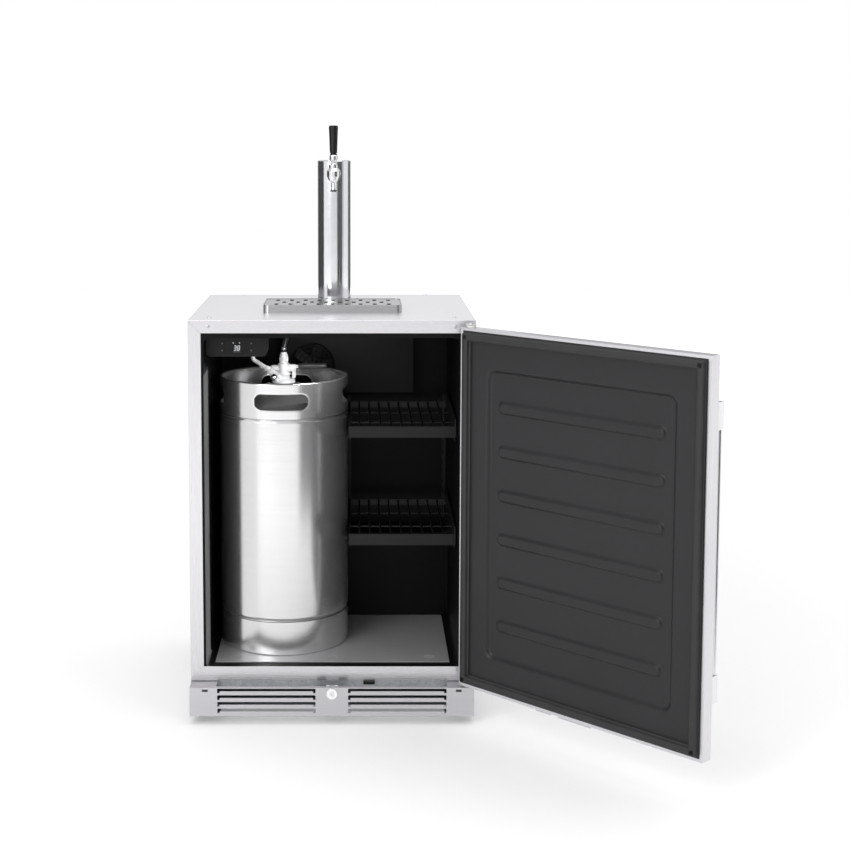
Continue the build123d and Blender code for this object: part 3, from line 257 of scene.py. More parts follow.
def keg_steel(name, colour=(0.76, 0.76, 0.765), roughness=0.22):
    """Keg steel, brushed round the barrel, with handling scuffs and faint cloudiness."""
    made = Surface(name, colour, 0.86, roughness)
    rings = made.noise(1.0, 2.0, (12, 12, 2200))
    bands = made.noise(1.0, 2.0, (4, 4, 260))
    lines = made.together(rings, bands, RING_SHARE)
    scuff = made.noise(26.0, 5.0, (1, 1, 0.35), 0.65)
    made.rough(made.maths("ADD", made.spread(lines, roughness - 0.03, roughness + 0.04),
                          made.spread(scuff, 0.0, 0.05, 0.58, 0.76)))
    made.paint(made.spread(lines, 0.0, 1.0), shaded(colour, 0.94))
    return made.bump(rings, 0.03, 0.00004)


def polished(name, colour, roughness, wave=0.05, metallic=1.0):
    """Polished or chromed metal, with the faint waviness of buffing."""
    made = Surface(name, colour, metallic, roughness)
    swirl = made.noise(60.0, 4.0)
    made.rough(made.spread(swirl, roughness, roughness + 0.05))
    made.paint(made.spread(made.noise(400.0, 2.0), 0.0, 1.0), shaded(colour, 0.95))
    return made.bump(made.noise(30.0, 2.0), wave, 0.0004)


def moulded(name, colour, roughness, texture=900.0, strength=0.2, soft=0.0008, **sockets):
    """Moulded plastic with a fine spark-eroded texture."""
    made = Surface(name, colour, 0.0, roughness, **sockets)
    if soft:
        made.soften(soft)
    pebble = made.noise(texture, 2.0)
    cloudy = made.noise(7.0, 3.0)
    made.rough(made.spread(made.together(pebble, cloudy, 0.5), roughness - 0.05, roughness + 0.07))
    made.paint(made.spread(cloudy, 0.0, 1.0), shaded(colour, 1.18))
    return made.bump(pebble, strength, 0.00012)


def galvanised(name):
    """Zinc coated sheet with its spangle."""
    made = Surface(name, (0.56, 0.57, 0.59), 0.9, 0.42)
    spangle = made.node("ShaderNodeTexVoronoi", Vector=made.place(), Scale=95.0)
    shade = made.node("ShaderNodeSeparateColor", Color=spangle.outputs["Color"]).outputs["Red"]
    made.paint(shade, (0.40, 0.42, 0.45))
    made.rough(made.spread(shade, 0.34, 0.52, 0.0, 1.0))
    return made.bump(made.noise(300.0, 3.0), 0.08, 0.0001)


def foamed(name):
    """Cut polyurethane foam."""
    made = Surface(name, (0.80, 0.70, 0.44), 0.0, 0.9)
    made.paint(made.spread(made.noise(18.0, 4.0), 0.0, 1.0), (0.70, 0.56, 0.30))
    return made.bump(made.cells(700.0), 0.6, 0.0006)


def rubber(name, colour=(0.022, 0.022, 0.024)):
    """Soft black rubber with a dusty bloom."""
    made = Surface(name, colour, 0.0, 0.62)
    bloom = made.noise(40.0, 4.0)
    made.paint(made.spread(bloom, 0.0, 1.0), shaded(colour, 1.9))
    made.rough(made.spread(bloom, 0.55, 0.72))
    return made.bump(made.noise(1200.0, 2.0), 0.2, 0.0001)


def copper(name):
    """Drawn copper tube, tarnished in patches."""
    made = Surface(name, (0.86, 0.46, 0.30), 1.0, 0.28)
    tarnish = made.noise(22.0, 4.0)
    made.paint(made.spread(tarnish, 0.0, 1.0, 0.42, 0.66), (0.42, 0.20, 0.12))
    made.rough(made.spread(tarnish, 0.22, 0.48))
    return made.bump(made.noise(500.0, 2.0), 0.08, 0.0001)


def enamel(name, colour, roughness):
    """Sprayed enamel with orange peel."""
    made = Surface(name, colour, 0.0, roughness, Specular_IOR_Level=0.25)
    peel = made.noise(260.0, 2.0)
    made.rough(made.spread(made.noise(12.0, 3.0), roughness - 0.04, roughness + 0.10))
    made.paint(made.spread(made.noise(14.0, 4.0), 0.0, 1.0), shaded(colour, 1.3))
    return made.bump(peel, 0.25, 0.0002)


def hose(name, colour, through):
    """Flexible hose, slightly see-through, with faint lengthwise drawing lines."""
    made = Surface(name, colour, 0.0, 0.28, Transmission_Weight=through, IOR=1.42)
    lines = made.noise(1.0, 2.0, (900, 900, 30))
    made.rough(made.spread(lines, 0.22, 0.40))
    made.paint(made.spread(made.noise(30.0, 3.0), 0.0, 1.0), shaded(colour, 0.7))
    return made.bump(lines, 0.12, 0.0001)


def glowing(name, colour, strength):
    """A lit segment behind smoked glass."""
    made = Surface(name, (0.02, 0.02, 0.02), 0.0, 0.3, Emission_Color=(*colour, 1.0))
    made.feed(made.shader.inputs["Emission Strength"],
              made.spread(made.noise(900.0, 1.0), strength * 0.85, strength * 1.1))
    return made


looks = {}


def add_look(kind, name, *values, **more):
    """Makes one named look."""
    looks[name] = kind(name, *values, **more)


add_look(brushed, "cabinet_steel", STEEL, 0.30, grain_along(2))
# The top panel's steel is a lighter copy of the cabinet's steel: painted light, standing in for light
# falling on the top.
add_look(brushed, "top_steel", (0.90, 0.89, 0.91), 0.36, grain_along(0))
add_look(frame_steel, "frame_steel")
# The kickplate's steel is a darker copy of the cabinet's steel: painted shade on the kickplate.
add_look(brushed, "kick_steel", (0.60, 0.59, 0.61), 0.33, grain_along(0))
add_look(brushed, "floor_steel", (0.66, 0.66, 0.67), 0.36, grain_along(0), metallic=0.6)
add_look(brushed, "handle_steel", (0.78, 0.77, 0.79), 0.27, grain_along(2))
# The drip tray's steel is a much darker copy of the same steel: painted shade on the tray.
add_look(brushed, "tray_steel", (0.46, 0.46, 0.47), 0.27, grain_along(0))
add_look(galvanised, "galvanised")
add_look(foamed, "foam")
add_look(moulded, "liner_black", (0.0035, 0.0035, 0.004), 0.42, 700.0, 0.15, Specular_IOR_Level=0.10)
add_look(moulded, "cover_black", (0.004, 0.004, 0.0045), 0.42, 900.0, 0.2, Specular_IOR_Level=0.15)
add_look(moulded, "panel_black", (0.008, 0.008, 0.0085), 0.34, 1100.0, 0.15, Specular_IOR_Level=0.2)
add_look(moulded, "door_liner_charcoal", (0.0150, 0.0140, 0.0155), 0.38, 800.0, 0.12, 0.0,
         Specular_IOR_Level=0.32)
add_look(rubber, "gasket_rubber", (0.012, 0.012, 0.013))
add_look(moulded, "display_glass", (0.003, 0.003, 0.004), 0.12, 1500.0, 0.02, Specular_IOR_Level=0.2)
add_look(brushed, "coil_aluminium", (0.72, 0.73, 0.75), 0.32, grain_along(2), 0.2, 0.0002)
add_look(enamel, "motor_grey", (0.055, 0.056, 0.060), 0.45)
add_look(moulded, "fan_plastic", (0.018, 0.018, 0.020), 0.40, 1000.0, 0.1, 0.0004)
add_look(enamel, "shelf_steel", (0.006, 0.006, 0.0065), 0.40)
add_look(polished, "coupler_chrome", (0.97, 0.97, 0.98), 0.30, 0.05, 0.12)
add_look(polished, "lock_ring", (0.95, 0.95, 0.96), 0.22, 0.05, 0.5)
add_look(polished, "bright_chrome", (0.86, 0.86, 0.88), 0.07)
add_look(polished, "tower_steel", (0.80, 0.81, 0.83), 0.10, 0.03)
add_look(polished, "zinc", (0.62, 0.63, 0.66), 0.26)
add_look(enamel, "compressor_black", (0.012, 0.012, 0.012), 0.30)
add_look(copper, "copper")
add_look(keg_steel, "keg_steel")
add_look(keg_steel, "keg_weld", (0.50, 0.50, 0.51), 0.34)
add_look(moulded, "handle_black", (0.004, 0.004, 0.004), 0.30, 1400.0, 0.05, Specular_IOR_Level=0.3)
add_look(moulded, "grip_black", (0.030, 0.030, 0.031), 0.34, 1400.0, 0.05)
add_look(hose, "beer_hose", (0.035, 0.037, 0.038), 0.0)
add_look(hose, "gas_hose", (0.30, 0.32, 0.33), 0.35)
add_look(polished, "brass_fitting", (0.80, 0.62, 0.30), 0.22)
add_look(moulded, "nylon", (0.72, 0.71, 0.68), 0.40)
add_look(rubber, "foot_black")
add_look(glowing, "digit_glow", (0.92, 0.97, 1.0), 1.0)
add_look(glowing, "mark_glow", (0.90, 0.95, 1.0), 0.07)

# Nodes whose look differs from the one of their record slot.
SPECIAL = {"top_panel": "top_steel", "floor_plate": "floor_steel", "tower_tube": "tower_steel",
           "lock_housing": "lock_ring"}

for entry in record["subparts"]:
    node = nodes[entry["node"]]
    look = looks[SPECIAL.get(entry["node"], entry["material_slot"])]
    if not node.data.materials:
        node.data.materials.append(None)
    for material_slot in node.material_slots:
        material_slot.material = look.material


# ---- Mesh helpers ----
def piece(name, points, faces, look, body, slot=None, stands_for=(), place=None, smooth=True):
    """A mesh piece that rides on a body and may stand for CAD nodes; the slot argument is not used.
    """
    mesh = bpy.data.meshes.new(name)
    mesh.from_pydata([tuple(p) for p in points], [], faces)
    if place:
        mesh.transform(place)
    mesh.validate()
    mesh.update()
    if smooth:
        mesh.shade_smooth()
    mesh.materials.append(looks[look].material)
    made = bpy.data.objects.new(name, mesh)
    bpy.context.scene.collection.objects.link(made)
    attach(made, body)
    if stands_for:
        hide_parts(*stands_for)
    return made


def joined(parts):
    """The points and faces of several (points, faces) meshes as one."""
    points, faces = [], []
    for part_points, part_faces in parts:
        start = len(points)
        points += part_points
        faces += [tuple(i + start for i in face) for face in part_faces]
    return points, faces


def moved(part, place):
    """A part's points carried by a matrix."""
    return [place @ Vector(p) for p in part[0]], part[1]


def rounded(corners, radii, steps=5):
    """A line through the corners, each turned into an arc of its own radius."""
    line = []
    for i, corner in enumerate(corners):
        radius = radii[i] if isinstance(radii, (list, tuple)) else radii
        if i in (0, len(corners) - 1) or radius <= 0:
            line.append(Vector(corner))
            continue
        here, before, after = Vector(corner), Vector(corners[i - 1]), Vector(corners[i + 1])
        one, two = (before - here), (after - here)
        reach = min(radius, one.length * 0.49, two.length * 0.49)
        start, end = here + one.normalized() * reach, here + two.normalized() * reach
        for k in range(steps + 1):
            t = k / steps
            line.append(start * (1 - t) ** 2 + here * 2 * t * (1 - t) + end * t ** 2)
    return line


TURNS = {"Z": Matrix.Identity(3), "Y": Matrix.Rotation(-pi / 2, 3, "X"),
         "X": Matrix.Rotation(pi / 2, 3, "Y")}


def spun(profile, centre=(0, 0, 0), axis="Z", segments=96, closed=False):
    """A (radius, height) profile turned about an axis through centre."""
    turn = TURNS[axis]
    points, faces = [], []
    for radius, height in profile:
        for k in range(segments):
            angle = 2 * pi * k / segments
            flat = Vector((radius * cos(angle), radius * sin(angle), height))
            points.append(Vector(centre) + turn @ flat)
    rows = len(profile)
    for i in range(rows if closed else rows - 1):
        for k in range(segments):
            a, b = i * segments, ((i + 1) % rows) * segments
            j = (k + 1) % segments
            faces.append((a + k, a + j, b + j, b + k))
    if not closed:
        for row, flip in ((0, True), (rows - 1, False)):
            if profile[row][0] > 1e-6:
                ring = [row * segments + k for k in range(segments)]
                faces.append(tuple(reversed(ring)) if flip else tuple(ring))
    return points, faces


def ring_of(outline, profile):
    """A closed profile of (inset, height) swept round a closed outline of (x, z, inward) points."""
    points, faces = [], []
    count, rows = len(outline), len(profile)
    for x, z, way in outline:
        for inset, height in profile:
            points.append(Vector((x + way[0] * inset, height, z + way[1] * inset)))
    for k in range(count):
        for i in range(rows):
            a, b = k * rows, ((k + 1) % count) * rows
            j = (i + 1) % rows
            faces.append((a + i, a + j, b + j, b + i))
    return points, faces


def frame_outline(x0, x1, z0, z1, radius, steps):
    """A rounded rectangle in X and Z, with the inward way at each point."""
    outline = []
    corners = ((x1 - radius, z1 - radius, 0), (x0 + radius, z1 - radius, 1),
               (x0 + radius, z0 + radius, 2), (x1 - radius, z0 + radius, 3))
    for x, z, quarter in corners:
        for k in range(steps + 1):
            angle = (quarter + k / steps) * pi / 2
            out = (cos(angle), sin(angle))
            outline.append((x + radius * out[0], z + radius * out[1], (-out[0], -out[1])))
    return outline


def tube_along(path, radius, sides):
    """A round tube along points."""
    points, faces = [], []
    side = None
    for i, point in enumerate(path):
        ahead = (path[min(i + 1, len(path) - 1)] - path[max(i - 1, 0)]).normalized()
        if side is None:
            side = ahead.orthogonal().normalized()
        side = (side - ahead * side.dot(ahead)).normalized()
        other = ahead.cross(side)
        for k in range(sides):
            angle = 2 * pi * k / sides
            points.append(point + side * radius * cos(angle) + other * radius * sin(angle))
    for i in range(len(path) - 1):
        for k in range(sides):
            j = (k + 1) % sides
            a, b = i * sides, (i + 1) * sides
            faces.append((a + k, a + j, b + j, b + k))
    faces.append(tuple(reversed(range(sides))))
    faces.append(tuple((len(path) - 1) * sides + k for k in range(sides)))
    return points, faces


def smooth_step(t):
    """Rises from 0 to 1, level at both ends."""
    t = max(0.0, min(1.0, t))
    return t * t * (3 - 2 * t)


# ---- Door liner: one vacuum-formed sheet with a sunk field and six raised ribs ----
RIB_COUNT, RIB_LONG, RIB_HIGH = 6, 0.400, 0.0264
RIB_STEP, RIB_FIRST = 0.0898, 0.077
FIELD_WIDE, FIELD_LOW, FIELD_HIGH, FIELD_DEEP = 0.453, 0.157, 0.757, 0.0075
RIB_RISE, FORM_EDGE, RIB_EDGE = 0.0052, 0.009, 0.0045
FIELD_CORNER, GRID_STEP, SHEET_THICK = 0.022, 0.0022, 0.0015


def rounded_distance(x, z, half_x, half_z, radius):
    """How far a point lies inside (negative) or outside a rounded rectangle about the origin."""
    dx, dz = abs(x) - half_x + radius, abs(z) - half_z + radius
    return hypot(max(dx, 0), max(dz, 0)) + min(max(dx, dz), 0) - radius


def door_liner():
    """The sheet as a fine grid whose height follows the field and the ribs."""
    low, high = closed_box("door_liner")
    middle = (low.x + high.x) / 2
    face = high.y

    def depth(x, z):
        field_z = (FIELD_LOW + FIELD_HIGH) / 2
        field = rounded_distance(x - middle, z - field_z, FIELD_WIDE / 2,
                                 (FIELD_HIGH - FIELD_LOW) / 2, FIELD_CORNER)
        sunk = FIELD_DEEP * smooth_step(-field / FORM_EDGE)
        for i in range(RIB_COUNT):
            rib_z = FIELD_HIGH - RIB_FIRST - i * RIB_STEP
            if abs(z - rib_z) < RIB_HIGH:
                rib = rounded_distance(x - middle, z - rib_z, RIB_LONG / 2, RIB_HIGH / 2,
                                       RIB_HIGH / 2)
                sunk -= RIB_RISE * smooth_step(-rib / RIB_EDGE)
        return face - sunk

    across = round((high.x - low.x) / GRID_STEP)
    up = round((high.z - low.z) / GRID_STEP)
    points, faces = [], []
    for j in range(up + 1):
        for i in range(across + 1):
            x = low.x + (high.x - low.x) * i / across
            z = low.z + (high.z - low.z) * j / up
            points.append((x, depth(x, z), z))
    row = across + 1
    for j in range(up):
        for i in range(across):
            a = j * row + i
            faces.append((a, a + row, a + row + 1, a + 1))
    back_y = face - SHEET_THICK
    edge = list(range(row)) + [j * row + across for j in range(1, up + 1)]
    edge += [up * row + i for i in range(across - 1, -1, -1)]
    edge += [j * row for j in range(up - 1, 0, -1)]
    start = len(points)
    points += [(points[i][0], back_y, points[i][2]) for i in edge]
    for k in range(len(edge)):
        j = (k + 1) % len(edge)
        faces.append((edge[k], edge[j], start + j, start + k))
    piece("door_liner_sheet", points, faces, "door_liner_charcoal", "door",
          stands_for=["door_liner"], place=door_place)


door_liner()


# ---- Door gasket: a dart, a bellows and the magnet pocket, mitred at the corners ----
GASKET_CORNER = 0.006


def door_gasket():
    """The gasket's section swept round the door."""
    low, high = closed_box("door_gasket")
    y0, deep = low.y, high.y - low.y
    section = [(0.0, 0.0), (0.0, 0.0022), (0.0025, 0.0032), (0.0014, 0.0050), (0.0026, 0.0066),
               (0.0016, 0.0080), (0.0030, deep - 0.0012), (0.0050, deep), (0.0146, deep),
               (0.0166, deep - 0.0012), (0.0172, deep - 0.0040), (0.0152, 0.0056),
               (0.0178, 0.0036), (0.0200, 0.0022), (0.0200, 0.0)]
    outline = frame_outline(low.x, high.x, low.z, high.z, GASKET_CORNER, 4)
    profile = [(inset, y0 + height) for inset, height in section]
    points, faces = ring_of(outline, profile)
    made = piece("gasket_bellows", points, faces, "gasket_rubber", "door",
                 stands_for=["door_gasket"], place=door_place)
    made.data.set_sharp_from_angle(angle=radians(50))


door_gasket()


# ---- Keg ----
SEAM_LOW, SEAM_HIGH = 0.178, 0.620
HOLE_LONG, HOLE_HIGH, HOLE_Z = 0.122, 0.035, 0.6575
CHIME_WALL, RIM_HIGH = 0.0022, 0.0048
HOLE_SNAP, HOLE_FLARE, FLARE_REACH = 0.0016, 0.0005, 0.0025
RIM_CURL = ((0.0, 0.0), (0.0001, 0.0022), (-0.0012, 0.0042), (-0.0036, 0.0048), (-0.0060, 0.0040),
            (-0.0074, 0.0020), (-0.0072, -0.0012), (-0.0056, -0.0034), (-0.0034, -0.0034),
            (-0.0022, -0.0014))


def keg_barrel():
    """The barrel between its two seams, with rolled beads at the seams and both domes."""
    r = KEG_R
    profile = rounded([
        (0.026, 0.6765), (0.060, 0.672), (0.104, 0.650), (r - 0.006, SEAM_HIGH + 0.010),
        (r - 0.0035, SEAM_HIGH + 0.0015), (r - 0.0032, SEAM_HIGH - 0.0015),
        (r - 0.0002, SEAM_HIGH - 0.006), (r - 0.0002, SEAM_LOW + 0.006),
        (r - 0.0032, SEAM_LOW + 0.0015), (r - 0.0035, SEAM_LOW - 0.0015),
        (r - 0.006, SEAM_LOW - 0.010), (0.104, 0.140), (0.060, 0.124), (0.0, 0.118)],
        [0, 0.02, 0.03, 0.012, 0.002, 0.002, 0.004, 0.004, 0.002, 0.002, 0.012, 0.03, 0.02, 0])
    return spun(profile[::-1], keg_centre, segments=192)


def chime_wall(z0, z1, holes, rim_up):
    """A rolled ring of the keg: a wall on a grid, hand holes cut out of it and a curled rim."""
    turns, rises = 384, 44
    points, faces = [], []

    def hole_at(angle, z):
        if not holes:
            return 1.0
        quarter = pi / 2
        off = (angle + quarter / 2) % quarter - quarter / 2
        return rounded_distance(off * KEG_R, z - HOLE_Z, HOLE_LONG / 2, HOLE_HIGH / 2, HOLE_HIGH / 2)

    def wall_radius(angle, z, inside):
        radius = KEG_R - (CHIME_WALL if inside else 0.0)
        near = hole_at(angle, z)
        flare = HOLE_FLARE * smooth_step(1 - near / FLARE_REACH) if near > -0.004 else 0.0
        return radius - flare

    def snapped(angle, z):
        """The height, moved onto the edge of a hand hole where it is close."""
        near = hole_at(angle, z)
        if not holes or abs(near) >= HOLE_SNAP:
            return z
        off_z = z - HOLE_Z
        return z - near * (1 if off_z > 0 else -1) * min(1, abs(off_z) / (HOLE_HIGH / 2))

    for inside in (False, True):
        for j in range(rises + 1):
            for k in range(turns):
                angle = 2 * pi * k / turns
                z = snapped(angle, z0 + (z1 - z0) * j / rises)
                radius = wall_radius(angle, z, inside)
                points.append((radius * cos(angle), radius * sin(angle), z))
    layer = (rises + 1) * turns
    keep = set()
    for j in range(rises):
        for k in range(turns):
            angle = 2 * pi * (k + 0.5) / turns
            z = z0 + (z1 - z0) * (j + 0.5) / rises
            if hole_at(angle, z) > 0:
                keep.add((j, k))
    for j, k in keep:
        n = (k + 1) % turns
        a, b, c, d = j * turns + k, j * turns + n, (j + 1) * turns + n, (j + 1) * turns + k
        faces.append((a, b, c, d))
        faces.append((layer + d, layer + c, layer + b, layer + a))
        for step, one, two in (((0, -1), d, a), ((0, 1), b, c), ((1, 0), c, d), ((-1, 0), a, b)):
            beside = (j + step[0], (k + step[1]) % turns)
            if beside not in keep and 0 <= beside[0] < rises:
                faces.append((two, one, layer + one, layer + two))
    rim_z = z1 if rim_up else z0
    way = 1 if rim_up else -1
    curl = [(KEG_R + out, rim_z + way * up) for out, up in RIM_CURL]
    curl_points, curl_faces = spun(curl, segments=turns, closed=True)
    if not rim_up:
        curl_faces = [tuple(reversed(face)) for face in curl_faces]
    both = joined([(points, faces), (curl_points, curl_faces)])
    return moved(both, Matrix.Translation(keg_centre))


def keg_neck():
    """The raised neck with its groove, and the valve's seat inside it."""
    profile = rounded([(0.034, 0.6745), (0.030, 0.6765), (0.0275, 0.6775), (0.0275, 0.6790),
                       (0.0260, 0.6798), (0.0150, 0.6798), (0.0142, 0.6785), (0.0, 0.6785)],
                      0.0006, 3)
    return spun(profile, keg_centre)


def keg():
    """The keg's barrel, rings, neck and the weld lines where they meet."""
    barrel = piece("keg_barrel", *joined([keg_barrel(), keg_neck()]), "keg_steel", "cabinet",
                   stands_for=["keg"])
    barrel.data.set_sharp_from_angle(angle=radians(40))
    chimes = (("keg_top_ring", SEAM_HIGH + 0.001, keg_high.z - RIM_HIGH, True, True),
              ("keg_foot_ring", keg_low.z + RIM_HIGH, SEAM_LOW - 0.001, False, False))
    for name, *shape in chimes:
        ring = piece(name, *chime_wall(*shape), "keg_steel", "cabinet")
        ring.data.set_sharp_from_angle(angle=radians(45))
    welds = []
    for z in (SEAM_LOW, SEAM_HIGH):
        bead = [(KEG_R - 0.0024 + 0.0011 * cos(a), z + 0.0013 * sin(a))
                for a in (2 * pi * k / 10 for k in range(10))]
        welds.append(spun(bead, keg_centre, segments=192, closed=True))
    piece("keg_welds", *joined(welds), "keg_weld", "cabinet", "keg_steel")


keg()


# ---- Tap handle and faucet ----
def tap_handle():
    """The tapered black handle with its crowned top and a groove over the ferrule."""
    low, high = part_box("tap_handle")
    mid = (low + high) / 2
    top_r, bottom_r = (high.x - low.x) / 2, 0.0080
    z0, z1 = low.z, high.z
    profile = rounded([(0.0, z1), (top_r - 0.0012, z1 - 0.0004), (top_r, z1 - 0.004),
                       (top_r - 0.0009, z1 - 0.022), (bottom_r + 0.0004, z0 + 0.008),
                       (bottom_r, z0 + 0.0045), (bottom_r - 0.0012, z0 + 0.0040),
                       (bottom_r - 0.0012, z0 + 0.0028), (bottom_r, z0 + 0.0022), (bottom_r, z0),
                       (0.0, z0)],
                      [0, 0.001, 0.0015, 0.02, 0.003, 0.0004, 0.0003, 0.0003, 0.0004, 0.0005, 0], 4)
    shape = spun(profile[::-1], (mid.x, mid.y, 0), segments=64)
    made = piece("tap_grip", *shape, "handle_black", "tap", stands_for=["tap_handle"])
    made.data.set_sharp_from_angle(angle=radians(45))


tap_handle()


# ---- Control panel: two digits, indicator lights, touch marks and a bar ----
def slab(x0, x1, y0, y1, z0, z1, soft):
    """A block whose front edges are chamfered by soft."""
    outline = [(x0, z0), (x1, z0), (x1, z1), (x0, z1)]
    inner = [(x0 + soft, z0 + soft), (x1 - soft, z0 + soft), (x1 - soft, z1 - soft),
             (x0 + soft, z1 - soft)]
    points = [(x, y1, z) for x, z in outline] + [(x, y0 + soft, z) for x, z in outline]
    points += [(x, y0, z) for x, z in inner]
    faces = [(3, 2, 1, 0), (8, 9, 10, 11)]
    for row in (0, 4):
        for k in range(4):
            n = (k + 1) % 4
            faces.append((row + k, row + n, row + 4 + n, row + 4 + k))
    return points, faces


SEGMENTS = {"3": "abgcd", "8": "abcdefg"}
DIGIT_WIDE, DIGIT_HIGH, DIGIT_LINE, DIGIT_LEAN = 0.0048, 0.0100, 0.0011, 0.10
DIGIT_APART, DIGIT_DROP, BAR_DEEP, BAR_GAP = 0.0037, 0.003, 0.0004, 0.0005
MARK_OUT, MARK_HEIGHTS = 0.0055, (0.776, 0.791)


def digit(letters, x, z, y):
    """A seven segment digit centred at x and z."""
    half_x, half_z = DIGIT_WIDE / 2, DIGIT_HIGH / 2
    bars = {"a": ((-half_x, half_z), (half_x, half_z)), "g": ((-half_x, 0), (half_x, 0)),
            "d": ((-half_x, -half_z), (half_x, -half_z)), "f": ((-half_x, 0), (-half_x, half_z)),
            "b": ((half_x, 0), (half_x, half_z)), "e": ((-half_x, -half_z), (-half_x, 0)),
            "c": ((half_x, -half_z), (half_x, 0))}
    parts = []
    for letter in letters:
        (ax, az), (bx, bz) = bars[letter]
        along = Vector((bx - ax, bz - az)).normalized()
        over = Vector((-along.y, along.x)) * DIGIT_LINE / 2
        start, end = Vector((ax, az)) + along * BAR_GAP, Vector((bx, bz)) - along * BAR_GAP
        tip = along * DIGIT_LINE / 2
        flat = [start, start + tip - over, end - tip - over, end, end - tip + over,
                start + tip + over]
        front = [(x + p.x + p.y * DIGIT_LEAN, y, z + p.y) for p in flat]
        back = [(p[0], y + BAR_DEEP, p[2]) for p in front]
        faces = [(0, 1, 2, 3, 4, 5)] + [(k, k + 6, (k + 1) % 6 + 6, (k + 1) % 6) for k in range(6)]
        parts.append((front + back, faces))
    return parts


def control_marks():
    """What glows on the display, and the touch marks beside it."""
    low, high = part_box("control_display")
    y = low.y - 0.0003
    mid_x, mid_z = (low.x + high.x) / 2, (low.z + high.z) / 2
    lit = digit(SEGMENTS["3"], mid_x - DIGIT_APART, mid_z - DIGIT_DROP, y)
    lit += digit(SEGMENTS["8"], mid_x + DIGIT_APART, mid_z - DIGIT_DROP, y)
    for x in (mid_x - 0.0070, mid_x + 0.0060):
        lit.append(spun([(0.0, 0.0004), (0.0008, 0.0002), (0.0009, -0.0003)],
                        (x, y, high.z - 0.007), "Y", 24))
    piece("display_digits", *joined(lit), "digit_glow", "cabinet", "display_glass", smooth=False)
    marks = []
    for x in (low.x - MARK_OUT, high.x + MARK_OUT):
        for z in MARK_HEIGHTS:
            marks.append(spun([(0.0, -0.0003), (0.0014, -0.0002), (0.0018, 0.0002)],
                              (x, low.y - 0.0006, z), "Y", 32))
    marks.append(slab(mid_x - 0.008, mid_x + 0.008, y, y + 0.0004, low.z + 0.0035,
                      low.z + 0.0045, 0.0001))
    piece("touch_marks", *joined(marks), "mark_glow", "cabinet", "panel_black")


control_marks()


# ---- Screw heads with a cross recess ----
def solids_of(node):
    """The box of each separate solid of a CAD node."""
    mesh = nodes[node].data
    owner = list(range(len(mesh.vertices)))

    def root(i):
        while owner[i] != i:
            owner[i] = owner[owner[i]]
            i = owner[i]
        return i

    places = {}
    for vertex in mesh.vertices:
        key = tuple(round(c, 6) for c in vertex.co)
        owner[root(vertex.index)] = root(places.setdefault(key, vertex.index))
    for edge in mesh.edges:
        owner[root(edge.vertices[0])] = root(edge.vertices[1])
    groups = {}
    for vertex in mesh.vertices:
        groups.setdefault(root(vertex.index), []).append(vertex.co)
    return [(Vector(min(p[i] for p in group) for i in range(3)),
             Vector(max(p[i] for p in group) for i in range(3))) for group in groups.values()]


HEAD_HIGH = 0.0018


def cross_head(radius, high):
    """A domed head about +Z with a cross recess, its underside at height 0."""
    rings, sides = 14, 48
    points, faces = [], []
    arm, reach, deep = radius * 0.16, radius * 0.62, high * 0.75
    for j in range(rings + 1):
        out = radius * j / rings
        for k in range(sides):
            angle = 2 * pi * k / sides
            x, y = out * cos(angle), out * sin(angle)
            z = high * sqrt(max(0.0, 1 - (out / radius) ** 2 * 0.9))
            edge = max(min(abs(x), abs(y)) - arm, out - reach)
            z -= deep * smooth_step(0.5 - edge / (radius * 0.12))
            points.append((x, y, z))
    for j in range(rings):
        for k in range(sides):
            n = (k + 1) % sides
            a, b = j * sides, (j + 1) * sides
            faces.append((a + k, b + k, b + n, a + n))
    start = len(points)
    points += [(radius * cos(2 * pi * k / sides), radius * sin(2 * pi * k / sides), 0)
               for k in range(sides)]
    for k in range(sides):
        n = (k + 1) % sides
        faces.append((rings * sides + k, start + k, start + n, rings * sides + n))
    return points, faces


def screw_heads():
    """Pan heads over the screws of the top, the frame, the rear cover and the tower's flange."""
    parts = []
    for low, high in solids_of("cabinet_screws"):
        mid, size = (low + high) / 2, high - low
        along = max(range(3), key=lambda i: size[i])
        radius = min(size) / 2
        if along == 2:
            place = Matrix.Translation((mid.x, mid.y, high.z - HEAD_HIGH))
        elif mid.y < 0:
            place = (Matrix.Translation((mid.x, low.y + HEAD_HIGH, mid.z))
                     @ Matrix.Rotation(pi / 2, 4, "X"))
        else:
            place = (Matrix.Translation((mid.x, high.y - HEAD_HIGH, mid.z))
                     @ Matrix.Rotation(-pi / 2, 4, "X"))
        turn = Matrix.Rotation(mid.x * 40 + mid.z * 25, 4, "Z")
        parts.append(moved(cross_head(radius, HEAD_HIGH), place @ turn))
    made = piece("screw_heads", *joined(parts), "zinc", "cabinet", stands_for=["cabinet_screws"])
    made.data.set_sharp_from_angle(angle=radians(50))


screw_heads()


# ---- Coupler: foot, barrel, yoke, neck with its nut, and the gas arm ----
def soft_block(x0, x1, y0, y1, z0, z1, radius):
    """A block with rounded edges."""
    mesh = bmesh.new()
    bmesh.ops.create_cube(mesh, size=1.0)
    size = Vector((x1 - x0, y1 - y0, z1 - z0))
    middle = Vector((x0 + x1, y0 + y1, z0 + z1)) / 2
    for vertex in mesh.verts:
        vertex.co = middle + Vector(vertex.co[i] * size[i] for i in range(3))
    bmesh.ops.bevel(mesh, geom=mesh.edges[:], offset=radius, segments=3, profile=0.5,
                    affect="EDGES")
    mesh.verts.index_update()
    points = [v.co.copy() for v in mesh.verts]
    faces = [tuple(v.index for v in face.verts) for face in mesh.faces]
    mesh.free()
    return points, faces


NUT_CHAMFER = 0.0012


